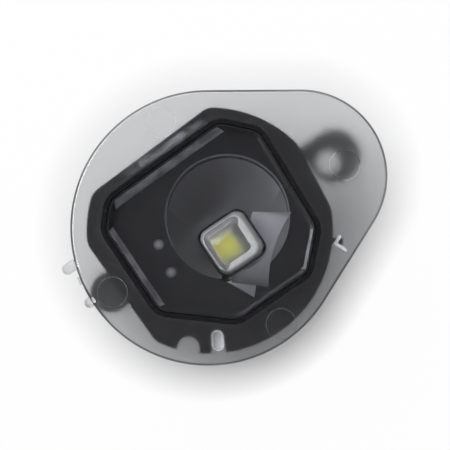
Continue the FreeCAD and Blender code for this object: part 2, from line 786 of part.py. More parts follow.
def add_shroud(body):
    """The connector shroud below the cup, with keys inside and a latch nose outside."""
    quarters = ("0", "90", "180", "270")
    wide, high = "socket_width / 2", "socket_height / 2"
    reach = {"0": wide, "90": high, "180": wide, "270": high}
    outside = new_sketch(body, "shroud_outline", "0")
    add_rounded(outside, [(turn, f"{reach[turn]} + shroud_wall") for turn in quarters], "shroud_corner")
    pad(body, outside, "shroud", "shroud_length + cup_floor / 2")
    inside = new_sketch(body, "socket_outline", "0")
    add_rounded(inside, [(turn, reach[turn]) for turn in quarters], "(shroud_corner - shroud_wall)")
    pocket(body, inside, "socket", SOCKET_END, up=True)

    keys = new_sketch(body, "key_outline", "0")
    for side in ("-1", "1"):
        add_box(keys, f"{side} * key_offset", "(key_proud / 2 - socket_height / 2)", "key_width", "key_proud")
    pad(body, keys, "socket_keys", SOCKET_END)

    latch = new_sketch(body, "latch_profile", "0", "YZ_Plane")
    face = "(socket_height / 2 + shroud_wall)"
    root = f"({face} - shroud_wall / 2)"
    add_polygon(latch, [(root, "latch_low"), (face, "latch_low"), (f"{face} + latch_proud", "latch_high"),
                        (root, "latch_high")])
    pad(body, latch, "latch_nose", "latch_width", both=True)

    holes = new_sketch(body, "terminal_holes", SOCKET_END)
    for side in ("-1", "1"):
        add_box(holes, f"{side} * terminal_pitch / 2", "0", "terminal_size", "terminal_size")
    pocket(body, holes, "terminal_slots", "2 * socket_web", up=True)


def add_braces(body):
    """Low ribs under the cup's floor, from the shroud outwards; the breather's place stays free."""
    sketch = new_sketch(body, "brace_outline", "shroud_length")
    wide, high = "((socket_width + shroud_wall) / 2)", "((socket_height + shroud_wall) / 2)"
    for aside in ("brace_offset", "(-brace_offset)"):
        length = f"(east_side - brace_margin - {wide})"
        add_box(sketch, f"({wide} + {length} / 2)", aside, length, "brace_width")
        length = f"(north_side - brace_margin - {high})"
        add_box(sketch, aside, f"({high} + {length} / 2)", "brace_width", length)
        length = f"(south_side - brace_margin - {high})"
        add_box(sketch, aside, f"(-{high} - {length} / 2)", "brace_width", length)
    length = f"(west_side - brace_margin - {wide})"
    add_box(sketch, f"(-{wide} - {length} / 2)", "brace_offset", length, "brace_width")
    pad(body, sketch, "floor_braces", "brace_height", down=True)


def add_posts(body):
    """Three posts for the board with blind holes for its screws."""
    posts = new_sketch(body, "post_outline", CUP_FLOOR_TOP)
    holes = new_sketch(body, "post_hole_outline", BOARD_UNDER)
    for name in SCREWS:
        add_circle(posts, f"screw_{name}_x", f"screw_{name}_y", "post_radius")
        add_circle(holes, f"screw_{name}_x", f"screw_{name}_y", "screw_shank_radius")
    pad(body, posts, "board_posts", "post_height")
    pocket(body, holes, "post_holes", "screw_shank_depth + screw_spare")


def add_vent(body):
    """A breather hole with a shallow recess for its membrane."""
    recess = new_sketch(body, "vent_recess_outline", "shroud_length")
    add_circle(recess, "vent_x", "vent_y", "vent_recess_radius")
    pocket(body, recess, "vent_recess", "vent_recess_depth", up=True)
    hole = new_sketch(body, "vent_hole_outline", "shroud_length")
    add_circle(hole, "vent_x", "vent_y", "vent_hole_radius")
    pocket(body, hole, "vent_hole", "cup_floor", up=True)


def build_bezel():
    """The inner frame: rim, sloped sides, plate, oblique bowl and the ramp beside the light."""
    body = new_body("inner_bezel")
    loft(body, "block",
         octagon_sketch(body, "block_top", BEZEL_TOP, BEZEL_OUTSIDE),
         octagon_sketch(body, "block_foot", BOARD_TOP, BEZEL_FOOT))
    loft(body, "recess",
         octagon_sketch(body, "recess_rim", BEZEL_TOP, BEZEL_LIP),
         octagon_sketch(body, "recess_floor", BEZEL_FLOOR, BEZEL_LIP, STEEP), cut=True)
    hollow = octagon_sketch(body, "hollow_outline", BOARD_TOP, f"({BEZEL_FOOT} - bezel_wall)")
    pocket(body, hollow, "hollow", f"{BEZEL_FLOOR} - bezel_plate - {BOARD_TOP}", up=True)

    middle = f"({BEZEL_FLOOR} - bezel_plate / 2)"
    loft(body, "bowl_outside",
         circle_sketch(body, "bowl_rim_outside", middle, "bowl_x", "bowl_y", "bowl_radius + bowl_wall"),
         circle_sketch(body, "bowl_throat_outside", BOWL_BASE, "led_x", "led_y", "bowl_throat + bowl_wall"))
    under = f"({RAMP_TOP} - ramp_wall)"
    shelf = ramp_sketch(body, "ramp_shelf_outside", under, "1", "ramp_wall")
    pad(body, shelf, "ramp_shelf", f"{middle} - {under}")
    loft(body, "ramp_outside",
         ramp_sketch(body, "ramp_top_outside", under, "1", "ramp_wall"),
         ramp_sketch(body, "ramp_foot_outside", BOWL_BASE, "ramp_start", "ramp_wall"))
    loft(body, "bowl",
         circle_sketch(body, "bowl_rim", BEZEL_FLOOR, "bowl_x", "bowl_y", "bowl_radius"),
         circle_sketch(body, "bowl_throat", BOWL_BASE, "led_x", "led_y", "bowl_throat"), cut=True)
    loft(body, "ramp",
         ramp_sketch(body, "ramp_top", RAMP_TOP, "1", "0"),
         ramp_sketch(body, "ramp_foot", RAMP_FOOT, "ramp_start", "0"), cut=True)
    opening = ramp_sketch(body, "ramp_opening", BEZEL_FLOOR, "1", "0")
    pocket(body, opening, "ramp_step", f"{BEZEL_FLOOR} - {RAMP_TOP}")
    seat = rounded_square(body, "optic_seat", BOWL_BASE, "led_x", "led_y",
                          "(optic_base + 2 * optic_clearance)", "(optic_corner + optic_clearance)")
    pocket(body, seat, "optic_opening", f"{BEZEL_FLOOR} - {BOWL_BASE}", up=True)
    return body


def circle_sketch(body, name, height, x, y, radius):
    """A sketch that holds one circle."""
    sketch = new_sketch(body, name, height)
    add_circle(sketch, x, y, radius)
    return sketch


def ramp_sketch(body, name, height, share, grow):
    """The ramp's outline at one height: two straight sides, a near end and a bowed far end.

    The share is how far along its sides the far end lies; grow moves the whole outline outwards.
    """
    sketch = new_sketch(body, name, height)
    corners = {}
    for side, sign in (("north", "1"), ("south", "-1")):
        near = (f"ramp_near_{side}_x", f"ramp_near_{side}_y")
        far = (f"ramp_far_{side}_x", f"ramp_far_{side}_y")
        run = tuple(f"({a} + ({b} - {a}) * {share})" for a, b in zip(near, far))
        corners["near", side] = turned(near, "ramp_turn", f"-{grow}", f"{sign} * {grow}")
        corners["far", side] = turned(run, "ramp_turn", grow, f"{sign} * {grow}")
    points = {key: FreeCAD.Vector(value(x), value(y), 0) for key, (x, y) in corners.items()}
    south, north = points["far", "south"], points["far", "north"]
    chord = north - south
    radius = value("ramp_end_radius")
    outward = FreeCAD.Vector(chord.y, -chord.x, 0).normalize()
    centre = (south + north) * 0.5 + outward * math.sqrt(radius ** 2 - chord.Length ** 2 / 4)
    begin = math.atan2(north.y - centre.y, north.x - centre.x) % (2 * math.pi)
    end = math.atan2(south.y - centre.y, south.x - centre.x) % (2 * math.pi)
    bow = Part.Circle(centre, FreeCAD.Vector(0, 0, 1), radius)
    sketch.addGeometry(Part.LineSegment(points["near", "north"], points["near", "south"]))
    sketch.addGeometry(Part.LineSegment(points["near", "south"], south))
    sketch.addGeometry(Part.ArcOfCircle(bow, begin, end))
    sketch.addGeometry(Part.LineSegment(north, points["near", "north"]))
    for join in ((0, 2, 1, 1), (1, 2, 2, 2), (2, 1, 3, 1), (3, 2, 0, 1)):
        sketch.addConstraint(Sketcher.Constraint("Coincident", *join))
    hold_point(sketch, 0, 1, *corners["near", "north"])
    hold_point(sketch, 1, 1, *corners["near", "south"])
    hold_point(sketch, 1, 2, *corners["far", "south"])
    hold_point(sketch, 3, 1, *corners["far", "north"])
    hold(sketch, "Radius", 2, size="ramp_end_radius")
    return sketch


def rounded_square(body, name, height, x, y, size, corner):
    """A sketch of a square with rounded corners about a point."""
    sketch = new_sketch(body, name, height)
    bind(sketch, "AttachmentOffset.Base.x", x)
    bind(sketch, "AttachmentOffset.Base.y", y)
    add_rounded(sketch, [(turn, f"{size} / 2") for turn in ("0", "90", "180", "270")], corner)
    return sketch


def leg_places():
    """The places of the optic's two legs."""
    inset = "(optic_base / 2 - optic_leg_inset)"
    return [(f"led_x {one} {inset}", f"led_y {two} {inset}") for one, two in (("-", "+"), ("+", "-"))]


def build_optic():
    """The clear cap over the light source: leaning, bevelled, hollow and held by two legs."""
    body = new_body("led_optic")
    top = f"({BOARD_TOP} + optic_height)"
    shoulder = f"({BOARD_TOP} + optic_height - optic_bevel)"
    lean = ("led_x + optic_lean_x", "led_y + optic_lean_y")
    loft(body, "optic_block",
         rounded_square(body, "optic_foot", BOARD_TOP, "led_x", "led_y", "optic_base", "optic_corner"),
         rounded_square(body, "optic_neck", shoulder, *lean, "optic_shoulder", "optic_corner"))
    loft(body, "optic_cap",
         rounded_square(body, "optic_brow", shoulder, *lean, "optic_shoulder", "optic_corner"),
         rounded_square(body, "optic_summit", top, *lean, "optic_crown", "optic_corner"))
    cavity = new_sketch(body, "cavity_outline", BOARD_TOP)
    add_box(cavity, "led_x", "led_y", "optic_cavity", "optic_cavity")
    pocket(body, cavity, "cavity", "optic_cavity_depth", up=True)
    legs = new_sketch(body, "leg_outline", BOARD_TOP)
    for x, y in leg_places():
        add_circle(legs, x, y, "optic_leg_radius")
    pad(body, legs, "legs", "optic_leg_length", down=True)
    return body


def build_board():
    """The board with holes for its screws, the terminals and the optic's legs."""
    body = new_body("circuit_board")
    outline = octagon_sketch(body, "board_outline", BOARD_UNDER, BOARD_EDGE)
    pad(body, outline, "board", "board_thickness")
    holes = new_sketch(body, "board_holes", BOARD_TOP)
    for name in SCREWS:
        radius = "(screw_shank_radius + board_hole_clearance)"
        add_circle(holes, f"screw_{name}_x", f"screw_{name}_y", radius)
    for side in ("-", ""):
        add_circle(holes, f"{side}terminal_pitch / 2", "terminal_run", "terminal_hole_radius")
    for x, y in leg_places():
        add_circle(holes, x, y, "(optic_leg_radius + optic_leg_clearance)")
    pocket(body, holes, "board_drilling", "board_thickness")
    return body


def build_terminal(label, side):
    """A flat terminal, bent below the board from the socket to its own hole."""
    body = new_body(label)
    profile = new_sketch(body, f"{label}_profile", f"{side}terminal_pitch / 2", "YZ_Plane")
    half = "terminal_size / 2"
    tip = f"{SOCKET_END} - terminal_reach"
    top = f"{BOARD_TOP} + terminal_proud"
    under, over = TERMINAL_BEND, f"{TERMINAL_BEND} + terminal_size"
    add_polygon(profile, [
        (f"-{half}", tip), (half, tip), (half, under), (f"terminal_run + {half}", under),
        (f"terminal_run + {half}", top), (f"terminal_run - {half}", top),
        (f"terminal_run - {half}", over), (f"-{half}", over)])
    pad(body, profile, f"{label}_blank", "terminal_size", both=True)
    return body


def build_package():
    """The light source's body with a shallow tray in its top."""
    body = new_body("led_package")
    outline = new_sketch(body, "package_outline", LED_BASE)
    add_box(outline, *LED_SPOT, "led_size", "led_size")
    pad(body, outline, "package", "led_height")
    tray = new_sketch(body, "tray_outline", f"{LED_BASE} + led_height")
    add_box(tray, *LED_SPOT, "phosphor_size", "phosphor_size")
    pocket(body, tray, "tray", "phosphor_recess")
    return body


def new_block(label, x, y, z, length, width, height):
    """A box about a point, standing on a height."""
    block = doc.addObject("Part::Box", label)
    block.Label = label
    bind(block, "Length", length)
    bind(block, "Width", width)
    bind(block, "Height", height)
    place(block, f"{x} - {length} / 2", f"{y} - {width} / 2", z)
    return block


def new_round(kind, label, x, y, z, height, **radii):
    """A cylinder or a cone on a height."""
    shape = doc.addObject(kind, label)
    for prop, radius in radii.items():
        bind(shape, prop, radius)
    bind(shape, "Height", height)
    place(shape, x, y, z)
    return shape


def joined(kind, label, *pieces):
    """A boolean, or a group, of other shapes."""
    result = doc.addObject(kind, label)
    result.Label = label
    if kind == "Part::Cut":
        result.Base, result.Tool = pieces
    elif kind == "Part::Compound":
        result.Links = list(pieces)
    else:
        result.Shapes = list(pieces)
    return result


def build_phosphor():
    """The phosphor plate in the package's tray."""
    base = f"{LED_BASE} + led_height - phosphor_recess"
    return new_block("led_phosphor", *LED_SPOT, base, "phosphor_size", "phosphor_size",
                     "(phosphor_recess + phosphor_proud)")


def build_led_solder():
    """Two solder pads under the light source."""
    pads = []
    for side in ("-", "+"):
        x = f"{LED_SPOT[0]} {side} (led_size / 2 - led_solder_width / 2)"
        pads.append(new_block(f"led_solder_pad_{len(pads)}", x, LED_SPOT[1], BOARD_TOP, "led_solder_width",
                              "led_size", "led_solder_height"))
    return joined("Part::Compound", "led_solder", *pads)


def build_terminal_solder():
    """A solder cone round each terminal on top of the board."""
    cones = []
    for side in ("-", ""):
        x = f"{side}terminal_pitch / 2"
        index = len(cones)
        cone = new_round("Part::Cone", f"solder_cone_{index}", x, "terminal_run", BOARD_TOP, "solder_height",
                         Radius1="solder_radius", Radius2="terminal_size")
        pin = new_block(f"solder_gap_{index}", x, "terminal_run", BOARD_TOP, "terminal_size",
                        "terminal_size", "solder_height")
        cones.append(joined("Part::Cut", f"solder_joint_{index}", cone, pin))
    return joined("Part::Compound", "terminal_solder", *cones)


def build_screws():
    """The board's screws: a shank, a domed head and a driving slot."""
    screws = []
    for name in SCREWS:
        x, y = f"screw_{name}_x", f"screw_{name}_y"
        shank = new_round("Part::Cylinder", f"screw_shank_{name}", x, y, f"{BOARD_UNDER} - screw_shank_depth",
                          "(screw_shank_depth + board_thickness)", Radius="screw_shank_radius")
        head = new_round("Part::Cone", f"screw_head_{name}", x, y, BOARD_TOP, "screw_head_height",
                         Radius1="screw_head_radius", Radius2="screw_head_radius * 0.75")
        slot = new_block(f"screw_slot_{name}", x, y, f"{BOARD_TOP} + screw_head_height - screw_slot",
                         "2 * screw_head_radius", "screw_slot", "screw_slot")
        whole = joined("Part::MultiFuse", f"screw_whole_{name}", shank, head)
        screws.append(joined("Part::Cut", f"screw_{name}", whole, slot))
    return joined("Part::Compound", "board_screws", *screws)


def build_diode(label, x, y):
    """A moulded diode with a lead at each end."""
    base = new_block(f"{label}_body", x, y, BOARD_TOP, "diode_length", "diode_width", "diode_height")
    leads = new_block(f"{label}_leads", x, y, BOARD_TOP, "(diode_length + 2 * diode_lead_length)",
                      "diode_lead_width", "diode_lead_height")
    return joined("Part::MultiFuse", label, base, leads)


def build_vent():
    """The breather's membrane, against the bottom of its recess."""
    label = "vent_membrane"
    base = "shroud_length + vent_recess_depth - vent_thickness"
    disc = new_round("Part::Cylinder", label, "vent_x", "vent_y", base, "vent_thickness",
                     Radius="(vent_recess_radius - vent_clearance)")
    disc.Label = label
    return disc


def build_all():
    """Every sub-part, in the order of the lamp's make-up."""
    parts = [build_lens(), build_housing(), build_bezel(), build_optic(), build_board(), build_package()]
    parts += [build_phosphor(), build_led_solder()]
    parts += [build_terminal("terminal_positive", "-"), build_terminal("terminal_negative", "")]
    parts += [build_terminal_solder(), build_screws()]
    for index in range(3):
        y = f"(chip_row_y - {index} * chip_row_step)"
        parts.append(new_block(f"resistor_{index + 1}", "chip_row_x", y, BOARD_TOP, "chip_length",
                               "chip_width", "chip_height"))
    parts.append(build_diode("reverse_diode", "diode_a_x", "diode_a_y"))
    parts.append(build_diode("surge_diode", "diode_b_x", "diode_b_y"))
    for label, key in (("input_capacitor", "cap_a"), ("led_capacitor", "cap_b")):
        parts.append(new_block(label, f"{key}_x", f"{key}_y", BOARD_TOP, "cap_length", "cap_width",
                               "cap_height"))
    parts.append(build_vent())
    return parts


def write_parts(parts):
    """Checks every object and writes one file for each sub-part."""
    doc.recompute()
    for item in doc.Objects:
        if "Invalid" in item.State or "Error" in item.State:
            raise RuntimeError(f"{item.Label} did not build")
    os.makedirs("parts", exist_ok=True)
    for part in parts:
        shape = part.Shape
        if shape.isNull() or not shape.isValid() or not shape.Solids:
            raise RuntimeError(f"{part.Label} has no sound shape")
        shape.exportStep(os.path.join("parts", f"{part.Label}.step"))


fill_sheet()
write_parts(build_all())
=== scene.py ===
"""Dresses the puddle light: smoked lens, black shell, glossy frame, clear optic, light source."""
import json
import logging
import math
from collections.abc import Callable
from dataclasses import dataclass
from enum import Enum
from functools import cache

import bmesh
import bpy
from bmesh.types import BMEdge, BMesh, BMFace, BMVert
from bpy.types import Collection, Material, Node, NodeOutputs, NodeSocket, NodeTree, Object
from mathutils import Matrix, Vector

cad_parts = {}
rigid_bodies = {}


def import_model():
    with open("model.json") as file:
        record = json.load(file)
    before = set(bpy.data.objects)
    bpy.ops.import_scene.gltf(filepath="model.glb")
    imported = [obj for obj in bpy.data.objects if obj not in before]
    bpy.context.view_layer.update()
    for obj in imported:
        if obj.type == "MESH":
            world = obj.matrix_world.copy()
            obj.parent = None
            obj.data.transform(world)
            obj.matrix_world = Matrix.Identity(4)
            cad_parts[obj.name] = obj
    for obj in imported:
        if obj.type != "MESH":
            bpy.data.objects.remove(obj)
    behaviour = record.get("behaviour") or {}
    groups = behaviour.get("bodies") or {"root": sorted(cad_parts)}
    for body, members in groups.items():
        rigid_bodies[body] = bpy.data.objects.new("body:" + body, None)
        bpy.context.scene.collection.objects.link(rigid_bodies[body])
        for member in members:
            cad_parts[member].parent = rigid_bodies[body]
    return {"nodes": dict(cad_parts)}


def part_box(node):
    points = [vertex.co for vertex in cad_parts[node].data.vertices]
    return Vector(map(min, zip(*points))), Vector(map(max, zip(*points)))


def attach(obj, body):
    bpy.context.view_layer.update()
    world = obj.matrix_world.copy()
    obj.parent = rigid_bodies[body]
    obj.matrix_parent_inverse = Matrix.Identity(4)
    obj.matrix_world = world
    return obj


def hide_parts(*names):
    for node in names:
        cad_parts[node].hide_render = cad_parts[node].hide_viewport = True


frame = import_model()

LOG = logging.getLogger("puddle_light")
MM = 0.001
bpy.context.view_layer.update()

TINY = 1e-5  # millimetres within which two heights are the same
PAST = 0.3  # millimetres that a cutting solid reaches past the face it opens
LEVEL = 0.99  # height of a unit normal above which its face counts as level
VECTOR, VALUE = "NodeSocketVector", "NodeSocketFloat"

Pair = tuple[float, float]
Triple = tuple[float, float, float]


class Combine(Enum):
    """How a second solid acts on the first."""

    JOIN = "UNION"
    CUT = "DIFFERENCE"


class LensFinish(Enum):
    """The lens's finishes, in slot order."""

    POLISHED = "smoked_clear"
    FROSTED = "smoked_frost"
    # the rim's finish is much darker than the lens: a painted dark line of shade along its edge
    RIM = "smoked_edge"
    PALE = "smoked_milky"
    MARK = "mark_line"
    TAB = "tab_frost"


class ShellFinish(Enum):
    """The shell's finishes, in slot order."""

    PLAIN = "black_moulding"
    # the flange under the lens takes a darker, duller copy of the black moulding: painted shade
    FLANGE = "black_flange"


class BezelFinish(Enum):
    """The inner frame's finishes, in slot order."""

    GLOSS = "black_gloss"
    # light patches of painted sheen on three sloped sides, standing in for lamp reflections on the
    # black slopes
    PAINTED_SHEEN = "bezel_satin"
    # lighter grey on the bowl's broken edge: a painted highlight along the rim
    PAINTED_RIM_HIGHLIGHT = "bezel_edge"
    # the ramp: lighter black with a painted highlight that brightens along its way
    RAMP = "bezel_ramp"
    # the bowl: lighter black with painted light that brightens along its way
    BOWL = "bezel_bowl"
    # the dip beside the ramp: bluish grey, a painted reflection on the black plate
    FACET = "bezel_dip"
    # the pips: black with a painted highlight on their tops
    PIP = "bezel_pip"


class OpticFinish(Enum):
    """The optic's finishes, in slot order."""

    POLISHED = "clear_optic"
    # the optic's pale walls: nearly opaque white, a painted glow for light reflected inside the
    # clear optic
    PALE = "optic_wall"
    # the optic's other slopes: a fainter copy of that painted glow
    SIDE = "optic_side"
    FROSTED = "optic_frost"


@dataclass(frozen=True)
class Facet:
    """A face of a piece: one corner and its middle in millimetres, and its outward direction."""

    corner: Vector
    middle: Vector
    normal: Vector


class NodeSheet:
    """A hand on a node tree that adds nodes, fills their inputs and links them."""

    def __init__(self, tree: NodeTree) -> None:
        """Keeps the tree."""
        self.tree = tree

    def add(self, kind: str, inputs: dict | None = None, **settings) -> Node:
        """Adds a node.

        Args:
            kind: The node's type name.
            inputs: Values or sockets for its inputs, by name or index.
            settings: Properties of the node itself.

        Returns:
            The new node.
        """
        node = self.tree.nodes.new(kind)
        for name, setting in settings.items():
            setattr(node, name, setting)
        for socket, content in (inputs or {}).items():
            self.fill(node.inputs[socket], content)
        return node

    def fill(self, socket: NodeSocket, content: object) -> None:
        """Links a socket to an input, or sets the input's value.

        Args:
            socket: The input.
            content: A socket to link, or a value.
        """
        if isinstance(content, NodeSocket):
            self.tree.links.new(content, socket)
        else:
            socket.default_value = content

    def place(self) -> NodeSocket:
        """Gives the point's place on the object, in metres."""
        return self.add("ShaderNodeTexCoord").outputs["Object"]

    def noise(self, vector: NodeSocket, scale: float | NodeSocket, detail: float = 2.0,
              roughness: float = 0.5) -> NodeSocket:
        """Gives a cloud pattern between 0 and 1, with its scale in waves per metre."""
        inputs = {"Vector": vector, "Scale": scale, "Detail": detail, "Roughness": roughness}
        return self.add("ShaderNodeTexNoise", inputs).outputs["Fac"]

    def cells(self, vector: NodeSocket, scale: float) -> NodeSocket:
        """Gives the distance to the nearest of scattered cell middles."""
        node = self.add("ShaderNodeTexVoronoi", {"Vector": vector, "Scale": scale})
        return node.outputs["Distance"]

    def span(self, source: NodeSocket, low: float, high: float, start: float | NodeSocket = 0.0,
             end: float | NodeSocket = 1.0) -> NodeSocket:
        """Maps a value from one range to another.

        Args:
            source: The value socket.
            low: Result at the range's start.
            high: Result at the range's end.
            start: Start of the source's range.
            end: End of the source's range.

        Returns:
            The mapped value socket.
        """
        inputs = {"Value": source, "From Min": start, "From Max": end,
                  "To Min": low, "To Max": high}
        return self.add("ShaderNodeMapRange", inputs).outputs["Result"]

    def mix(self, share: NodeSocket, first: object, second: object) -> NodeSocket:
        """Blends two colours.

        Args:
            share: How much of the second colour shows.
            first: A colour or a colour socket.
            second: A colour or a colour socket.

        Returns:
            The blended colour socket.
        """
        node = self.add("ShaderNodeMix", {"Factor": share}, data_type="RGBA")
        colours = [socket for socket in node.inputs if socket.type == "RGBA"]
        for socket, content in zip(colours, (first, second)):
            self.fill(socket, content if isinstance(content, NodeSocket) else (*content, 1.0))
        return next(socket for socket in node.outputs if socket.type == "RGBA")

    def along(self, vector: NodeSocket, way: object) -> NodeSocket:
        """Gives how far a vector reaches in one direction."""
        node = self.add("ShaderNodeVectorMath", {0: vector, 1: way}, operation="DOT_PRODUCT")
        return node.outputs["Value"]

    def math(self, operation: str, *values: object) -> NodeSocket:
        """Works out one step of arithmetic on numbers or value sockets."""
        return self.add("ShaderNodeMath", dict(enumerate(values)), operation=operation).outputs[0]


class GroupSheet(NodeSheet):
    """The node sheet of a fresh shader node group."""

    def __init__(self, name: str, inputs: dict[str, str], *outputs: str) -> None:
        """Makes the group with its sockets.

        Args:
            name: The group's name.
            inputs: Socket types by input name.
            outputs: Names of its value outputs.
        """
        super().__init__(bpy.data.node_groups.new(name, "ShaderNodeTree"))
        for label, kind in inputs.items():
            self.tree.interface.new_socket(label, in_out="INPUT", socket_type=kind)
        for label in outputs:
            self.tree.interface.new_socket(label, in_out="OUTPUT", socket_type=VALUE)
        self.entry = self.add("NodeGroupInput").outputs

    def close(self, *results: NodeSocket) -> NodeTree:
        """Links the group's outputs in order and gives the group."""
        self.add("NodeGroupOutput", dict(enumerate(results)))
        return self.tree


class SharedEffects:
    """The node groups that several finishes use, each built once."""

    grain_layers: tuple[Triple, ...] = ((1.0, 3.0, 0.6), (0.03, 2.0, 0.5), (0.12, 4.0, 0.55))
    scratch_stretch: Triple = (1.0, 0.04, 0.3)
    scratch_scale: float = 2600.0
    patch_scale: float = 120.0

    @staticmethod
    @cache
    def grain() -> NodeTree:
        """Builds the moulded grain: fine height, broad tone and a slow drift of gloss.

        Returns:
            The group.
        """
        sheet = GroupSheet("moulded_grain", {"Vector": VECTOR, "Scale": VALUE},
                           "Height", "Tone", "Gloss")
        layers = []
        for share, detail, roughness in SharedEffects.grain_layers:
            scale = sheet.math("MULTIPLY", sheet.entry["Scale"], share)
            layers.append(sheet.noise(sheet.entry["Vector"], scale, detail, roughness))
        return sheet.close(*layers)

    @staticmethod
    @cache
    def hairlines() -> NodeTree:
        """Builds a mask of thin scratches from stretched noise.

        Returns:
            The group.
        """
        sheet = GroupSheet("hairlines", {"Vector": VECTOR, "Turn": VECTOR}, "Mask")
        place = sheet.entry["Vector"]
        inputs = {"Vector": place, "Rotation": sheet.entry["Turn"],
                  "Scale": SharedEffects.scratch_stretch}
        stretched = sheet.add("ShaderNodeMapping", inputs).outputs["Vector"]
        streaks = sheet.noise(stretched, SharedEffects.scratch_scale)
        patches = sheet.noise(place, SharedEffects.patch_scale)
        thin = sheet.span(streaks, 0.0, 1.0, 0.66, 0.74)
        here = sheet.span(patches, 0.0, 1.0, 0.5, 0.7)
        return sheet.close(sheet.math("MULTIPLY", thin, here))

    @staticmethod
    @cache
    def fade() -> NodeTree:
        """Builds a share that grows from 0 to 1 in one direction, for painted light and shade that
        fade.

        Returns:
            The group.
        """
        sheet = GroupSheet("fade", {"Vector": VECTOR, "Way": VECTOR, "Start": VALUE, "End": VALUE},
                           "Share")
        far = sheet.along(sheet.entry["Vector"], sheet.entry["Way"])
        return sheet.close(sheet.span(far, 0.0, 1.0, sheet.entry["Start"], sheet.entry["End"]))

    @staticmethod
    @cache
    def end_caps() -> NodeTree:
        """Builds a chip's two end caps as a mask, and the speckle of its body.

        Returns:
            The group.
        """
        inputs = {"Vector": VECTOR, "Middle": VALUE, "Half": VALUE, "Scale": VALUE}
        sheet = GroupSheet("end_caps", inputs, "Cap", "Speckle")
        place = sheet.entry["Vector"]
        along = sheet.add("ShaderNodeSeparateXYZ", {"Vector": place}).outputs["X"]
        away = sheet.math("ABSOLUTE", sheet.math("SUBTRACT", along, sheet.entry["Middle"]))
        cap = sheet.math("GREATER_THAN", away, sheet.entry["Half"])
        return sheet.close(cap, sheet.noise(place, sheet.entry["Scale"], 3.0, 0.6))


class MaterialSheet(NodeSheet):
    """The node sheet of a fresh material with one Principled shader."""

    def __init__(self, name: str) -> None:
        """Makes the material.

        Args:
            name: The material's name.
        """
        self.material = bpy.data.materials.new(name)
        self.material.use_nodes = True
        super().__init__(self.material.node_tree)
        self.tree.nodes.clear()
        self.shader = self.add("ShaderNodeBsdfPrincipled")
        self.output = self.add("ShaderNodeOutputMaterial", {"Surface": self.shader.outputs["BSDF"]})

    def dress(self, **values: object) -> None:
        """Sets or links the shader's inputs, named with underscores for spaces."""
        for name, content in values.items():
            self.fill(self.shader.inputs[name.replace("_", " ")], content)

    def cover(self, share: NodeSocket, second: Node) -> None:
        """Lets a second shader show by a share over what the surface is so far.

        Args:
            share: How much of the second shader shows.
            second: The second shader's node.
        """
        surface = self.output.inputs["Surface"]
        inputs = {0: share, 1: surface.links[0].from_socket, 2: second.outputs[0]}
        self.fill(surface, self.add("ShaderNodeMixShader", inputs).outputs["Shader"])

    def effect(self, group: NodeTree, **inputs: object) -> NodeOutputs:
        """Places a shared effect, read at the point's place, and gives its outputs."""
        inputs["Vector"] = self.place()
        return self.add("ShaderNodeGroup", inputs, node_tree=group).outputs

    def hairlines(self, turn: float) -> NodeSocket:
        """Gives the mask of scratches that run at an angle in degrees."""
        return self.effect(SharedEffects.hairlines(), Turn=(0.0, 0.0, math.radians(turn)))["Mask"]

    def gloss(self, grain: NodeOutputs, lines: NodeSocket, rough: Pair) -> NodeSocket:
        """Gives a roughness that drifts with the grain and is a little higher on scratches."""
        drift = self.span(grain["Gloss"], *rough, 0.3, 0.7)
        return self.math("ADD", drift, self.math("MULTIPLY", lines, 0.03))

    def bump(self, height: NodeSocket, distance: float, strength: float) -> None:
        """Puts a height, whose 1 is a distance in metres, on the shader's normal."""
        inputs = {"Height": height, "Distance": distance, "Strength": strength}
        self.dress(Normal=self.add("ShaderNodeBump", inputs).outputs["Normal"])


@dataclass(frozen=True)
class Finish:
    """What all finishes share: a name and the way to a material."""

    name: str

    def make(self) -> Material:
        """Builds the material.

        Returns:
            The finished material.
        """
        sheet = MaterialSheet(self.name)
        self.paint(sheet)
        return sheet.material

    def paint(self, sheet: MaterialSheet) -> None:
        """Dresses the material, each finish in its own way."""
        raise NotImplementedError


@dataclass(frozen=True)
class MouldedPlastic(Finish):
    """An opaque moulded plastic with grain, tone drift and fine scratches."""

    base: Triple = (0.02, 0.02, 0.022)
    tone: Triple = (0.03, 0.03, 0.032)
    scratch: Triple = (0.07, 0.07, 0.075)
    rough: Pair = (0.35, 0.5)
    grain_scale: float = 6000.0
    grain_depth: float = 0.00002
    grain_strength: float = 0.3
    specular: float = 0.5
    turn: float = 25.0

    def paint(self, sheet: MaterialSheet) -> None:
        """Dresses the material.

        Args:
            sheet: The material's node sheet.
        """
        grain = sheet.effect(SharedEffects.grain(), Scale=self.grain_scale)
        lines = sheet.hairlines(self.turn)
        body = sheet.mix(self.tone_share(sheet, grain), self.base, self.tone)
        colour = sheet.mix(sheet.math("MULTIPLY", lines, 0.5), body, self.scratch)
        sheet.dress(Base_Color=colour, Specular_IOR_Level=self.specular,
                    Roughness=sheet.gloss(grain, lines, self.rough))
        sheet.bump(grain["Height"], self.grain_depth, self.grain_strength)

    def tone_share(self, sheet: MaterialSheet, grain: NodeOutputs) -> NodeSocket:
        """Gives how much of the tone shows."""
        return grain["Tone"]


@dataclass(frozen=True)
class PaintedFadePlastic(MouldedPlastic):
    """A moulded plastic with painted light and shade: its colour fades from its base to its tone in
    one direction.
    """

    way: Triple = (0.0, 1.0, 0.0)
    reach: Pair = (0.0, 0.01)

    def tone_share(self, sheet: MaterialSheet, grain: NodeOutputs) -> NodeSocket:
        """Gives how much of the tone shows, as painted light fading in one direction."""
        start, end = self.reach
        return sheet.effect(SharedEffects.fade(), Way=self.way, Start=start, End=end)["Share"]


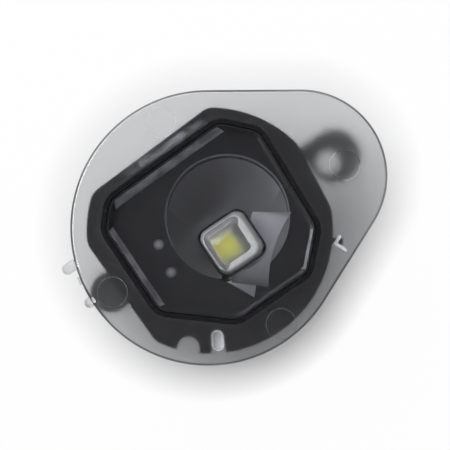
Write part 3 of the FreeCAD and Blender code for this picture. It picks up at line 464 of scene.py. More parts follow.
@dataclass(frozen=True)
class PaintedSheenPlastic(MouldedPlastic):
    """A moulded plastic with uneven light patches of painted sheen."""

    patch_scale: float = 260.0
    patch_range: Pair = (0.38, 0.6)

    def tone_share(self, sheet: MaterialSheet, grain: NodeOutputs) -> NodeSocket:
        """Gives how much of the painted sheen patches shows."""
        cloud = sheet.noise(sheet.place(), self.patch_scale, 3.0, 0.6)
        return sheet.span(cloud, 0.0, 1.0, *self.patch_range)


@dataclass(frozen=True)
class BandedPlastic(MouldedPlastic):
    """A moulded plastic with a lighter cloudy band along X."""

    middle: float = 0.01455
    half: float = 0.0009
    reach: Pair = (-0.0065, 0.0095)
    fade: float = 0.003
    cloud_scale: float = 420.0

    def tone_share(self, sheet: MaterialSheet, grain: NodeOutputs) -> NodeSocket:
        """Gives how much of the lighter band shows.

        Args:
            sheet: The material's node sheet.
            grain: Outputs of the grain effect; not used here.

        Returns:
            The share's socket.
        """
        place = sheet.place()
        parts = sheet.add("ShaderNodeSeparateXYZ", {"Vector": place}).outputs
        away = sheet.math("ABSOLUTE", sheet.math("SUBTRACT", parts["Y"], self.middle))
        band = sheet.span(away, 1.0, 0.0, self.half * 0.3, self.half)
        first, last = self.reach
        start = sheet.span(parts["X"], 0.0, 1.0, first, first + self.fade)
        end = sheet.span(parts["X"], 1.0, 0.0, last - self.fade, last)
        cloud = sheet.span(sheet.noise(place, self.cloud_scale, 3.0, 0.6), 0.15, 1.0, 0.4, 0.6)
        run = sheet.math("MULTIPLY", start, end)
        return sheet.math("MULTIPLY", sheet.math("MULTIPLY", band, run), cloud)


@dataclass(frozen=True)
class ClearPlastic(Finish):
    """A clear or smoked plastic, polished or frosted."""

    tint: Triple = (0.9, 0.9, 0.9)
    cloud: Triple = (0.88, 0.88, 0.88)
    rough: Pair = (0.0, 0.03)
    ior: float = 1.58
    grain_scale: float = 1500.0
    grain_depth: float = 0.00001
    grain_strength: float = 0.0
    turn: float = -30.0
    clear: float = 1.0
    glint: float = 1.0
    scatter: float = 0.0
    scatter_depth: float = 0.004

    def paint(self, sheet: MaterialSheet) -> None:
        """Dresses the material.

        Args:
            sheet: The material's node sheet.
        """
        grain = sheet.effect(SharedEffects.grain(), Scale=self.grain_scale)
        lines = sheet.hairlines(self.turn)
        sheet.dress(Base_Color=sheet.mix(grain["Tone"], self.tint, self.cloud),
                    Roughness=sheet.gloss(grain, lines, self.rough), IOR=self.ior,
                    Transmission_Weight=self.clear, Specular_Tint=(*(self.glint,) * 3, 1.0),
                    Subsurface_Weight=self.scatter, Subsurface_Scale=self.scatter_depth,
                    Subsurface_Radius=(1.0, 1.0, 1.0))
        if self.grain_strength:
            sheet.bump(grain["Height"], self.grain_depth, self.grain_strength)
        self.let_lamps_through(sheet)

    def let_lamps_through(self, sheet: MaterialSheet) -> None:
        """Lets the lamps' light pass the plastic, dimmed by its tint.

        Args:
            sheet: The material's node sheet.
        """
        root = tuple(math.sqrt(channel) for channel in self.tint)
        window = sheet.add("ShaderNodeBsdfTransparent", {"Color": (*root, 1.0)})
        sheet.cover(sheet.add("ShaderNodeLightPath").outputs["Is Shadow Ray"], window)


@dataclass(frozen=True)
class PlatedMetal(Finish):
    """A plated or solid metal with drawing lines and a dull bloom."""

    base: Triple = (0.72, 0.7, 0.66)
    bloom: Triple = (0.55, 0.53, 0.5)
    rough: Pair = (0.18, 0.4)
    turn: float = 90.0
    grain_scale: float = 9000.0
    grain_depth: float = 0.000006

    def paint(self, sheet: MaterialSheet) -> None:
        """Dresses the material.

        Args:
            sheet: The material's node sheet.
        """
        grain = sheet.effect(SharedEffects.grain(), Scale=self.grain_scale)
        lines = sheet.hairlines(self.turn)
        share = sheet.math("MAXIMUM", lines, sheet.span(grain["Gloss"], 0.0, 1.0, 0.4, 0.75))
        sheet.dress(Base_Color=sheet.mix(share, self.base, self.bloom),
                    Roughness=sheet.span(share, *self.rough), Metallic=1.0)
        sheet.bump(grain["Height"], self.grain_depth, 0.2)


@dataclass(frozen=True)
class Phosphor(Finish):
    """The unlit yellow phosphor: grains in a soft resin."""

    base: Triple = (0.63, 0.63, 0.014)
    grains: Triple = (0.56, 0.5, 0.006)
    grain_scale: float = 9000.0
    cloud_scale: float = 1200.0
    grain_depth: float = 0.00003

    def paint(self, sheet: MaterialSheet) -> None:
        """Dresses the material.

        Args:
            sheet: The material's node sheet.
        """
        cells = sheet.cells(sheet.place(), self.grain_scale)
        cloud = sheet.noise(sheet.place(), self.cloud_scale, 3.0, 0.6)
        share = sheet.span(sheet.math("MULTIPLY", cells, cloud), 0.0, 1.0, 0.1, 0.45)
        sheet.dress(Base_Color=sheet.mix(share, self.base, self.grains),
                    Roughness=sheet.span(cloud, 0.35, 0.6))
        sheet.bump(cells, self.grain_depth, 0.4)


@dataclass(frozen=True)
class SolderMask(Finish):
    """Black solder mask over copper tracks."""

    base: Triple = (0.010, 0.012, 0.011)
    track: Triple = (0.022, 0.026, 0.024)
    track_scale: float = 260.0
    track_width: float = 0.06
    track_depth: float = 0.00003
    weave_scale: float = 3000.0

    def paint(self, sheet: MaterialSheet) -> None:
        """Dresses the material.

        Args:
            sheet: The material's node sheet.
        """
        place = sheet.place()
        inputs = {"Vector": place, "Scale": self.track_scale, "Mortar Size": self.track_width}
        gaps = sheet.add("ShaderNodeTexBrick", inputs).outputs["Fac"]
        copper = sheet.math("SUBTRACT", 1.0, gaps)
        weave = sheet.noise(place, self.weave_scale)
        sheet.dress(Base_Color=sheet.mix(copper, self.base, self.track),
                    Roughness=sheet.span(weave, 0.25, 0.4))
        sheet.bump(gaps, self.track_depth, 0.5)


@dataclass(frozen=True)
class ChipEnds(Finish):
    """A ceramic chip part with tinned end caps along X."""

    base: Triple = (0.03, 0.03, 0.035)
    caps: Triple = (0.68, 0.67, 0.65)
    middle: float = 0.0
    half: float = 0.0011
    speckle_scale: float = 5000.0
    speckle_gain: float = 1.5
    speckle_depth: float = 0.00001

    def paint(self, sheet: MaterialSheet) -> None:
        """Dresses the material.

        Args:
            sheet: The material's node sheet.
        """
        parts = sheet.effect(SharedEffects.end_caps(), Middle=self.middle, Half=self.half,
                             Scale=self.speckle_scale)
        cap, speckle = parts["Cap"], parts["Speckle"]
        light = tuple(channel * self.speckle_gain for channel in self.base)
        shade = sheet.mix(speckle, self.base, light)
        sheet.dress(Base_Color=sheet.mix(cap, shade, self.caps), Metallic=cap,
                    Roughness=sheet.span(speckle, 0.3, 0.5))
        sheet.bump(speckle, self.speckle_depth, 0.3)


@dataclass(frozen=True)
class Membrane(Finish):
    """A white breather membrane with a felted surface."""

    base: Triple = (0.8, 0.8, 0.78)
    pores: Triple = (0.6, 0.6, 0.58)
    fibre_scale: float = 7000.0
    pore_scale: float = 4500.0
    pore_depth: float = 0.00004

    def paint(self, sheet: MaterialSheet) -> None:
        """Dresses the material.

        Args:
            sheet: The material's node sheet.
        """
        place = sheet.place()
        fibres = sheet.noise(place, self.fibre_scale, 4.0, 0.7)
        felt = sheet.math("MULTIPLY", fibres, sheet.cells(place, self.pore_scale))
        share = sheet.span(felt, 0.0, 1.0, 0.1, 0.5)
        sheet.dress(Base_Color=sheet.mix(share, self.base, self.pores),
                    Roughness=sheet.span(fibres, 0.75, 0.95))
        sheet.bump(felt, self.pore_depth, 0.6)


POLISH = (900.0, 0.000004, 0.1)  # scale, depth and strength of a polished mould's grain


class Palette:
    """The finishes of this lamp, each material made once."""

    finishes = {finish.name: finish for finish in (
        ClearPlastic("smoked_clear", (0.74, 0.745, 0.76), (0.72, 0.725, 0.74), (0.0, 0.02)),
        ClearPlastic("smoked_frost", (0.74, 0.745, 0.76), (0.71, 0.715, 0.73), (0.36, 0.42),
                     grain_scale=3000.0, grain_depth=0.00001, grain_strength=0.3, glint=0.2),
        ClearPlastic("smoked_milky", (0.86, 0.865, 0.88), (0.8, 0.805, 0.82), (0.2, 0.3),
                     clear=0.5),
        ClearPlastic("tab_frost", (0.7, 0.705, 0.71), (0.5, 0.505, 0.51), (0.4, 0.6),
                     grain_scale=9000.0, grain_depth=0.00003, grain_strength=0.5, clear=0.8),
        ClearPlastic("mark_line", (0.74, 0.745, 0.76), (0.7, 0.705, 0.72), (0.1, 0.16),
                     clear=0.92),
        # the rim's finish: much darker than the lens, a painted dark line of shade along its edge
        ClearPlastic("smoked_edge", (0.2, 0.2, 0.21), (0.16, 0.16, 0.17), (0.05, 0.1)),
        ClearPlastic("clear_optic", (0.97, 0.97, 0.96), (0.95, 0.95, 0.94), (0.0, 0.02),
                     ior=1.49),
        # the optic's pale walls: nearly opaque white, a painted glow for light reflected inside the
        # clear optic
        ClearPlastic("optic_wall", (0.98, 0.985, 0.99), (0.66, 0.67, 0.69), (0.1, 0.2),
                     ior=1.49, grain_scale=50000.0, clear=0.12, scatter=0.5),
        # the optic's other slopes: a fainter copy of that painted glow
        ClearPlastic("optic_side", (0.93, 0.94, 0.95), (0.88, 0.89, 0.91), (0.05, 0.12),
                     ior=1.49, clear=0.75, scatter=1.0),
        ClearPlastic("optic_frost", (0.93, 0.94, 0.93), (0.88, 0.89, 0.88), (0.55, 0.65),
                     ior=1.49, clear=0.96),
        MouldedPlastic("black_moulding", (0.012, 0.012, 0.013), (0.018, 0.018, 0.02),
                       (0.05, 0.05, 0.054), (0.35, 0.5), specular=0.35),
        # the flange under the lens: a darker, duller copy of the black moulding as painted shade,
        # with a lighter cloudy band along X
        BandedPlastic("black_flange", (0.006, 0.006, 0.007), (0.24, 0.24, 0.25),
                      (0.02, 0.02, 0.022), (0.45, 0.6), specular=0.06),
        MouldedPlastic("black_gloss", (0.011, 0.011, 0.012), (0.016, 0.016, 0.018),
                       (0.02, 0.02, 0.022), (0.15, 0.2), *POLISH,
                       specular=1.0),
        # the ramp: lighter than the black frame, a painted highlight that brightens along its way
        PaintedFadePlastic("bezel_ramp", (0.055, 0.055, 0.06), (0.29, 0.29, 0.32),
                     (0.1, 0.1, 0.11), (0.42, 0.5), *POLISH, specular=0.35,
                     way=(0.5563, 0.831, 0.0), reach=(-0.0095, 0.0025)),
        # the dip beside the ramp: bluish grey, a painted reflection on the black plate
        MouldedPlastic("bezel_dip", (0.09, 0.09, 0.105), (0.13, 0.13, 0.15),
                       (0.02, 0.02, 0.022), (0.34, 0.4), *POLISH, specular=0.9),
        # the bowl: lighter than the black frame, painted light that brightens along its way
        PaintedFadePlastic("bezel_bowl", (0.042, 0.042, 0.045), (0.1, 0.1, 0.107),
                     (0.05, 0.05, 0.054), (0.3, 0.38), *POLISH, specular=0.8,
                     way=(0.831, -0.5563, 0.0), reach=(0.001, 0.012)),
        # three sloped sides: light patches of painted sheen for lamp reflections on black slopes
        PaintedSheenPlastic("bezel_satin", (0.19, 0.19, 0.2), (0.44, 0.44, 0.46),
                      (0.4, 0.4, 0.42), (0.4, 0.5), 6000.0, 0.000003, 0.1),
        # the pips: black with a painted highlight on their tops
        PaintedFadePlastic("bezel_pip", (0.011, 0.011, 0.012), (0.2, 0.2, 0.21),
                     (0.2, 0.2, 0.21), (0.35, 0.45), *POLISH,
                     way=(0.0, 0.0, 1.0), reach=(0.01861, 0.01876)),
        # the bowl's broken edge: lighter grey, a painted highlight along the rim
        MouldedPlastic("bezel_edge", (0.11, 0.11, 0.116), (0.14, 0.14, 0.148),
                       (0.12, 0.12, 0.126), (0.35, 0.45), *POLISH),
        MouldedPlastic("package_white", (0.6, 0.59, 0.5), (0.52, 0.51, 0.43),
                       (0.45, 0.44, 0.38), (0.35, 0.5), 9000.0, 0.000006, 0.2),
        MouldedPlastic("diode_black", (0.025, 0.025, 0.027), (0.04, 0.04, 0.043),
                       (0.12, 0.12, 0.12), (0.4, 0.55), 8000.0),
        Phosphor("phosphor_yellow"),
        SolderMask("board_black"),
        PlatedMetal("tin", (0.66, 0.66, 0.66), (0.48, 0.48, 0.48), (0.2, 0.42), 40.0),
        PlatedMetal("tin_brass", (0.78, 0.74, 0.64), (0.6, 0.52, 0.36), (0.16, 0.36)),
        PlatedMetal("screw_steel", (0.6, 0.59, 0.57), (0.42, 0.41, 0.4), (0.2, 0.45), 15.0),
        Membrane("membrane_white"),
    )}

    @classmethod
    @cache
    def get(cls, name: str) -> Material:
        """Gives the material of a finish, made on first use."""
        return cls.finishes[name].make()


class Work:
    """A closed solid under work, in millimetres, that others are joined to or cut from."""

    merge: float = 1e-4
    cad_merge: float = 2e-4
    sliver: float = 0.002
    area_weight: int = 70

    def __init__(self, bm: BMesh, name: str, clean: bool = True) -> None:
        """Turns a bmesh into an object.

        Args:
            bm: The shape, which is used up.
            name: The object's name.
            clean: Whether doubles are merged and normals turned outwards.
        """
        if clean:
            bmesh.ops.remove_doubles(bm, verts=bm.verts[:], dist=self.merge)
            bmesh.ops.recalc_face_normals(bm, faces=bm.faces[:])
        mesh = bpy.data.meshes.new(name)
        bm.to_mesh(mesh)
        bm.free()
        self.object = bpy.data.objects.new(name, mesh)
        bpy.context.scene.collection.objects.link(self.object)

    @classmethod
    def copy_of(cls, node: str, name: str, flat: float = 0.6) -> "Work":
        """Starts from a copy of a CAD node with its triangles merged.

        Args:
            node: The CAD node's name.
            name: The new object's name.
            flat: Faces that differ by less than this many degrees become one.

        Returns:
            The work.
        """
        bm = bmesh.new()
        bm.from_mesh(frame["nodes"][node].data)
        bmesh.ops.scale(bm, vec=(1 / MM,) * 3, verts=bm.verts[:])
        bmesh.ops.remove_doubles(bm, verts=bm.verts[:], dist=cls.cad_merge)
        bmesh.ops.dissolve_limit(bm, angle_limit=math.radians(flat), verts=bm.verts[:],
                                 edges=bm.edges[:])
        return cls(bm, name, clean=False)

    def take(self, other: "Work", how: Combine) -> None:
        """Joins another solid to this one or cuts it away, and uses it up.

        Args:
            other: The second solid.
            how: Whether it is joined or cut.
        """
        modifier = self.object.modifiers.new("combine", "BOOLEAN")
        modifier.operation = how.value
        modifier.solver = "EXACT"
        modifier.object = other.object
        self.bake()
        mesh = other.object.data
        bpy.data.objects.remove(other.object)
        bpy.data.meshes.remove(mesh)

    def soften(self, width: float, segments: int, angle: float) -> None:
        """Rounds the edges that turn by more than an angle.

        Args:
            width: The rounding's width in millimetres.
            segments: Faces across it.
            angle: The least turn in degrees.
        """
        modifier = self.object.modifiers.new("soften", "BEVEL")
        modifier.width = width
        modifier.segments = segments
        modifier.limit_method = "ANGLE"
        modifier.angle_limit = math.radians(angle)
        modifier.use_clamp_overlap = True
        modifier.miter_outer = "MITER_ARC"
        self.bake()
        bm = bmesh.new()
        bm.from_mesh(self.object.data)
        bmesh.ops.dissolve_degenerate(bm, dist=self.sliver, edges=bm.edges[:])
        bm.to_mesh(self.object.data)
        bm.free()

    def bake(self) -> None:
        """Makes the modifiers' result the mesh itself."""
        graph = bpy.context.evaluated_depsgraph_get()
        mesh = bpy.data.meshes.new_from_object(self.object.evaluated_get(graph))
        old = self.object.data
        self.object.modifiers.clear()
        self.object.data = mesh
        bpy.data.meshes.remove(old)

    def even_shading(self, sharp: float, flat_over: float) -> None:
        """Shades the faces smoothly, with large faces kept flat beside their rounded edges.

        Args:
            sharp: Edges that turn by more degrees than this stay sharp.
            flat_over: Faces of more square millimetres than this stay flat.
        """
        self.object.data.shade_smooth()
        self.object.data.set_sharp_from_angle(angle=math.radians(sharp))
        modifier = self.object.modifiers.new("even", "WEIGHTED_NORMAL")
        modifier.keep_sharp = True
        modifier.weight = self.area_weight
        self.bake()
        mesh = self.object.data
        normals = [corner.vector.copy() for corner in mesh.corner_normals]
        for face in mesh.polygons:
            if face.area > flat_over * MM ** 2:
                for corner in face.loop_indices:
                    normals[corner] = face.normal.copy()
        mesh.normals_split_custom_set(normals)

    def piece(self, slot: str, node: str, finishes: type[Enum] | None = None,
              choose: Callable[[Facet], Enum] | None = None, sharp: float = 38.0,
              flat_over: float = 1e6) -> Object:
        """Finishes the piece: real size, shading, materials and its place on the frame.

        Args:
            slot: The record's material slot, and the one finish of a piece without finishes.
            node: The CAD node that it stands for.
            finishes: Its finishes.
            choose: Tells the finish of a face.
            sharp: Edges that turn by more degrees than this stay sharp.
            flat_over: Faces of more square millimetres than this stay flat.

        Returns:
            The finished object.
        """
        self.object.data.transform(Matrix.Scale(MM, 4))
        self.even_shading(sharp, flat_over)
        mesh = self.object.data
        mesh.materials.clear()
        order = list(finishes or ())
        for name in [finish.value for finish in order] or [slot]:
            mesh.materials.append(Palette.get(name))
        if choose:
            for face in mesh.polygons:
                corner = mesh.vertices[face.vertices[0]].co
                facet = Facet(corner / MM, face.center / MM, face.normal)
                face.material_index = order.index(choose(facet))
        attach(self.object, "root")
        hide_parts(node)
        return self.object


def heading(turn: float) -> Vector:
    """Gives the flat unit direction at an angle in degrees."""
    return Vector((math.cos(math.radians(turn)), math.sin(math.radians(turn))))


def edges_at(bm: BMesh, level: float) -> list[BMEdge]:
    """Gives the edges that lie at one height."""
    return [edge for edge in bm.edges if all(abs(vert.co.z - level) < TINY for vert in edge.verts)]


def round_edges(bm: BMesh, edges: list[BMEdge], width: float, segments: int = 4) -> None:
    """Rounds edges of a shape."""
    bmesh.ops.bevel(bm, geom=edges, offset=width, offset_type="OFFSET", segments=segments,
                    profile=0.5, affect="EDGES", material=-1)


def add_arc(bm: BMesh, centre: Vector, radius: float, begin: float, sweep: float,
            steps: int) -> tuple[BMVert, BMVert]:
    """Adds an arc of edges about a vertical axis.

    Args:
        bm: The shape under work.
        centre: The arc's centre.
        radius: Its radius.
        begin: The angle of its first point, in radians.
        sweep: How far it turns.
        steps: Edges along it.

    Returns:
        Its first and last vertex.
    """
    spoke = Vector((math.cos(begin), math.sin(begin), 0.0)) * radius
    first = bm.verts.new(centre + spoke)
    made = bmesh.ops.spin(bm, geom=[first], cent=centre, axis=(0, 0, 1), dvec=(0, 0, 0),
                          angle=sweep, steps=steps, use_merge=False, use_normal_flip=False,
                          use_duplicate=False)
    last = next(item for item in made["geom_last"] if isinstance(item, BMVert))
    return first, last


def extrude_up(bm: BMesh, faces: list[BMFace], height: float) -> None:
    """Extrudes faces straight up or down into a closed block.

    Args:
        bm: The shape under work.
        faces: The faces, which stay as its lower end.
        height: How far up, or down below zero.
    """
    made = bmesh.ops.extrude_face_region(bm, geom=faces, use_keep_orig=True)["geom"]
    verts = [item for item in made if isinstance(item, BMVert)]
    bmesh.ops.translate(bm, vec=(0, 0, height), verts=verts)


def stacked(bm: BMesh, faces: list[BMFace]) -> None:
    """Joins a stack of outlines into one closed block with the first and last as its ends.

    Args:
        bm: The shape under work.
        faces: Outlines of the same count of corners, from one end to the other.
    """
    loops = [list(face.edges) for face in faces]
    for lower, upper in zip(loops, loops[1:]):
        bmesh.ops.bridge_loops(bm, edges=lower + upper)
    bmesh.ops.delete(bm, geom=faces[1:-1], context="FACES_ONLY")


def add_disc(bm: BMesh, x: float, y: float, height: float, radius: float,
             steps: int = 96) -> BMFace:
    """Adds a round face.

    Args:
        bm: The shape under work.
        x: Its middle along X.
        y: Its middle along Y.
        height: Its height.
        radius: Its radius.
        steps: Edges round it.

    Returns:
        The face.
    """
    made = bmesh.ops.create_circle(bm, cap_ends=True, radius=radius, segments=steps,
                                   matrix=Matrix.Translation((x, y, height)))
    return made["verts"][0].link_faces[0]


def add_square(bm: BMesh, x: float, y: float, height: float, size: float, corner: float) -> BMFace:
    """Adds a square face with rounded corners.

    Args:
        bm: The shape under work.
        x: Its middle along X.
        y: Its middle along Y.
        height: Its height.
        size: Its side.
        corner: How far from a corner its rounding starts.

    Returns:
        The face.
    """
    half = size / 2
    corners = [bm.verts.new((x + a * half, y + b * half, height))
               for a, b in ((1, 1), (-1, 1), (-1, -1), (1, -1))]
    return round_corners(bm, corners, [corner] * 4)


def round_corners(bm: BMesh, corners: list[BMVert], offsets: list[float]) -> BMFace:
    """Makes one face of corner vertices and rounds each of them.

    Args:
        bm: The shape under work.
        corners: The face's corners in order.
        offsets: How far from each corner its rounding starts.

    Returns:
        The rounded face.
    """
    bm.faces.new(corners)
    made = {}
    for corner, offset in zip(corners, offsets):
        made = bmesh.ops.bevel(bm, geom=[corner], offset=offset, offset_type="OFFSET", segments=8,
                               profile=0.5, affect="VERTICES", material=-1)
    return made["verts"][0].link_faces[0]


def rod(x: float, y: float, low: float, high: float, radius: float, steps: int) -> Work:
    """Gives an upright rod as a solid to combine.

    Args:
        x: Its middle along X.
        y: Its middle along Y.
        low: Height of its lower end.
        high: Height of its upper end.
        radius: Its radius.
        steps: Edges round it.

    Returns:
        The rod.
    """
    bm = bmesh.new()
    extrude_up(bm, [add_disc(bm, x, y, low, radius, steps)], high - low)
    return Work(bm, "rod")


def oval_bar(x: float, y: float, turn: float, reach: float, width: float, low: float, high: float,
             round_end: float = 0.0, round_top: float = 0.0) -> Work:
    """Gives an upright bar with an oval outline.

    Args:
        x: Middle of the outline.
        y: Middle of the outline.
        turn: Heading of the outline's length, in degrees.
        reach: Distance between the centres of its round ends.
        width: Its width.
        low: Height of its lower end.
        high: Height of its upper end.
        round_end: Rounding of the lower end.
        round_top: Rounding of the upper end.

    Returns:
        The bar.
    """
    bm = bmesh.new()
    quarter = math.pi / 2
    far = add_arc(bm, Vector((reach / 2, 0, 0)), width / 2, -quarter, math.pi, 20)
    near = add_arc(bm, Vector((-reach / 2, 0, 0)), width / 2, quarter, math.pi, 20)
    bm.edges.new((far[1], near[0]))
    bm.edges.new((near[1], far[0]))
    face = bmesh.ops.contextual_create(bm, geom=bm.edges[:])["faces"][0]
    extrude_up(bm, [face], high - low)
    bmesh.ops.recalc_face_normals(bm, faces=bm.faces[:])
    for level, rounding in ((0.0, round_end), (high - low, round_top)):
        if rounding:
            round_edges(bm, edges_at(bm, level), rounding)
    place = Matrix.Translation((x, y, low)) @ Matrix.Rotation(math.radians(turn), 4, "Z")
    bmesh.ops.transform(bm, matrix=place, verts=bm.verts[:])
    return Work(bm, "bar")


def block(x: float, y: float, turn: float, size: Pair, low: float, high: float) -> Work:
    """Gives an upright block with a turned rectangular outline, placed by its middle.

    Args:
        x: Its middle along X.
        y: Its middle along Y.
        turn: Heading of its first side, in degrees.
        size: Its two sides.
        low: Height of its lower end.
        high: Height of its upper end.

    Returns:
        The block.
    """
    bm = bmesh.new()
    shape = Matrix.Diagonal((size[0], size[1], high - low, 1.0))
    place = Matrix.Translation((x, y, (low + high) / 2))
    rotation = Matrix.Rotation(math.radians(turn), 4, "Z")
    bmesh.ops.create_cube(bm, size=1.0, matrix=place @ rotation @ shape)
    return Work(bm, "block")


@dataclass(frozen=True)
class WeldOutline:
    """The rounded octagon that the weld line, the lens's groove and the bezel follow."""

    sides: tuple[Pair, ...] = ((-2.5, 15.55), (44.4, 17.4), (92.0, 13.35), (137.0, 16.75),
                               (180.0, 14.5), (230.0, 14.65), (270.7, 15.44), (315.5, 17.6))
    corner: float = 3.2

    def reach(self, grow: float, extra: tuple[float, ...]) -> list[tuple[Vector, float]]:
        """Gives the sides as lines, moved out or in.

        Args:
            grow: How far all sides are moved outwards.
            extra: How far each side is moved inwards, or nothing.

        Returns:
            The outward normal of each side and its distance.
        """
        insets = extra or (0.0,) * len(self.sides)
        return [(heading(turn), far + grow - inset)
                for (turn, far), inset in zip(self.sides, insets)]

    def add(self, bm: BMesh, height: float, grow: float, extra: tuple[float, ...] = ()) -> BMFace:
        """Adds the outline as one face.

        Args:
            bm: The shape under work.
            height: Its height.
            grow: How far it is moved outwards.
            extra: How far each side is moved inwards.

        Returns:
            The face.
        """
        sides = self.reach(grow, extra)
        corners = [bm.verts.new((*spot, height)) for spot in self.corners(sides)]
        offsets = [(self.corner + grow) * math.tan(one.angle(two) / 2)
                   for (one, _), (two, _) in zip(sides, sides[1:] + sides[:1])]
        return round_corners(bm, corners, offsets)

    def corners(self, sides: list[tuple[Vector, float]]) -> list[Vector]:
        """Gives the points where each side meets the next.

        Args:
            sides: Normal and distance of each side.

        Returns:
            The points in order.
        """
        spots = []
        for (one, near), (two, far) in zip(sides, sides[1:] + sides[:1]):
            cross = one.x * two.y - one.y * two.x
            spots.append(Vector((near * two.y - far * one.y, far * one.x - near * two.x)) / cross)
        return spots

    def outside(self, point: Vector) -> float:
        """Gives how far a point lies outside the rounded outline; inside it is below zero.

        Args:
            point: The point.

        Returns:
            The distance.
        """
        sides = self.reach(-self.corner, ())
        depth = max(normal.dot(point.xy) - far for normal, far in sides)
        if depth <= 0:
            return depth - self.corner
        spots = self.corners(sides)
        gaps = []
        for start, end in zip(spots, spots[1:] + spots[:1]):
            along = (point.xy - start).dot(end - start) / (end - start).length_squared
            gaps.append((start.lerp(end, min(max(along, 0.0), 1.0)) - point.xy).length)
        return min(gaps) - self.corner

    def holds(self, point: Vector, grow: float = 0.0) -> bool:
        """Tells whether a point lies inside the outline."""
        return all(normal.dot(point.xy) <= far for normal, far in self.reach(grow, ()))


WELD = WeldOutline()


@dataclass
class LensPlate:
    """The smoked lens: a crowned egg-shaped plate, frosted on its back outside the weld line."""

    lobe_radius: float = 22.0
    tip_radius: float = 13.8
    tip: Pair = (16.95, -1.36)
    lobe_steps: int = 132
    tip_steps: int = 56
    side_cuts: int = 13
    back: float = 22.0
    top: float = 24.5
    crown_radius: float = 400.0
    crown_x: float = 4.4
    centre: Pair = (3.6, -0.3)
    rings: tuple[float, ...] = (1.0, 0.94, 0.86, 0.76, 0.64, 0.5, 0.35, 0.2, 0.08)
    edge_round: float = 0.5
    foot_round: float = 0.15
    groove_half: float = 0.75
    groove_depth: float = 0.4
    frost_edge: float = 0.25
    mark_radius: float = 2.5
    mark_depth: float = 0.12
    mark_edge: float = 0.16
    marks: tuple[Pair, ...] = ((-18.4, 0.0), (1.2, -19.2), (3.0, 18.3), (23.7, -3.8))
    tab_ends: tuple[Pair, ...] = ((-22.3, 7.0), (-22.3, 0.6))
    tab_width: float = 1.8
    tab_levels: Pair = (-1.0, 0.9)
    tab_round: float = 0.6
    gate_turn: float = 168.6
    gate_size: Pair = (0.6, 1.3)
    gate_levels: Pair = (0.2, 1.4)
    peg_turn: float = 241.2
    peg_away: float = 18.0
    peg_reach: float = 1.4
    peg_width: float = 1.9
    peg_levels: Pair = (-3.2, 0.3)
    peg_round: float = 0.4
    rib_corner: Pair = (15.2, -13.2)
    rib_turn: float = -66.4
    rib_low: float = -0.4
    rib_height: float = 0.6
    rib_shape: tuple[Pair, ...] = ((0, 0), (2.4, 0), (2.4, 0.5), (0.5, 0.5), (0.5, 1.75), (0, 1.75))
    near: float = 0.02
    clear: float = 0.05

    def crown(self, x: float, y: float) -> float:
        """Gives the height of the crowned face above a point."""
        away = math.hypot(x - self.crown_x, y)
        return self.top - self.crown_radius + math.sqrt(self.crown_radius ** 2 - away ** 2)

    def add_outline(self, bm: BMesh) -> list[BMEdge]:
        """Adds the egg-shaped outline at the back: two arcs and the lines that touch both.

        Args:
            bm: The shape under work.

        Returns:
            Its edges.
        """
        middle = Vector((*self.tip, self.back))
        turn = math.atan2(self.tip[1], self.tip[0])
        lean = math.acos((self.lobe_radius - self.tip_radius) / math.hypot(*self.tip))
        lobe = add_arc(bm, Vector((0, 0, self.back)), self.lobe_radius, turn + lean,
                       2 * (math.pi - lean), self.lobe_steps)
        tip = add_arc(bm, middle, self.tip_radius, turn - lean, 2 * lean, self.tip_steps)
        sides = [bm.edges.new((lobe[1], tip[0])), bm.edges.new((tip[1], lobe[0]))]
        bmesh.ops.subdivide_edges(bm, edges=sides, cuts=self.side_cuts)
        return bm.edges[:]

    def build_plate(self) -> Work:
        """Raises the outline into the crowned plate with rounded edges.

        Returns:
            The plate.
        """
        bm = bmesh.new()
        rim = self.add_outline(bm)
        bmesh.ops.contextual_create(bm, geom=rim)
        centre = Vector((*self.centre, 0.0))
        ring, share = rim, 1.0
        top_rim = []
        for target in self.rings:
            made = bmesh.ops.extrude_edge_only(bm, edges=ring)["geom"]
            verts = [item for item in made if isinstance(item, BMVert)]
            ring = [item for item in made if isinstance(item, BMEdge)
                    and all(vert in set(verts) for vert in item.verts)]
            bmesh.ops.scale(bm, vec=(target / share, target / share, 1.0), verts=verts,
                            space=Matrix.Translation(-centre))
            for vert in verts:
                vert.co.z = self.crown(vert.co.x, vert.co.y)
            top_rim = top_rim or ring
            share = target
        cap = bmesh.ops.contextual_create(bm, geom=ring)["faces"]
        bmesh.ops.poke(bm, faces=cap)
        bmesh.ops.recalc_face_normals(bm, faces=bm.faces[:])
        round_edges(bm, top_rim, self.edge_round, 5)
        round_edges(bm, edges_at(bm, self.back), self.foot_round, 2)
        return Work(bm, "smoked_lens")

    def groove(self) -> Work:
        """Gives the weld groove's ring.

        Returns:
            The ring to cut.
        """
        bm = bmesh.new()
        rings = [WELD.add(bm, self.back - PAST, grow)
                 for grow in (self.groove_half, self.frost_edge, -self.groove_half)]
        loops = [list(face.edges) for face in rings]
        bmesh.ops.delete(bm, geom=rings, context="FACES_ONLY")
        faces = []
        for outer, inner in zip(loops, loops[1:]):
            faces += bmesh.ops.bridge_loops(bm, edges=outer + inner)["faces"]
        extrude_up(bm, faces, PAST + self.groove_depth)
        return Work(bm, "groove")

    def mark(self, x: float, y: float) -> Work:
        """Gives the shallow round mark with its sloped edge.

        Args:
            x: Its middle along X.
            y: Its middle along Y.

        Returns:
            The flat cone to cut.
        """
        bm = bmesh.new()
        slope = self.mark_edge / self.mark_depth
        stacked(bm, [add_disc(bm, x, y, self.back + level, self.mark_radius - level * slope)
                     for level in (-0.1, self.mark_depth)])
        return Work(bm, "mark")

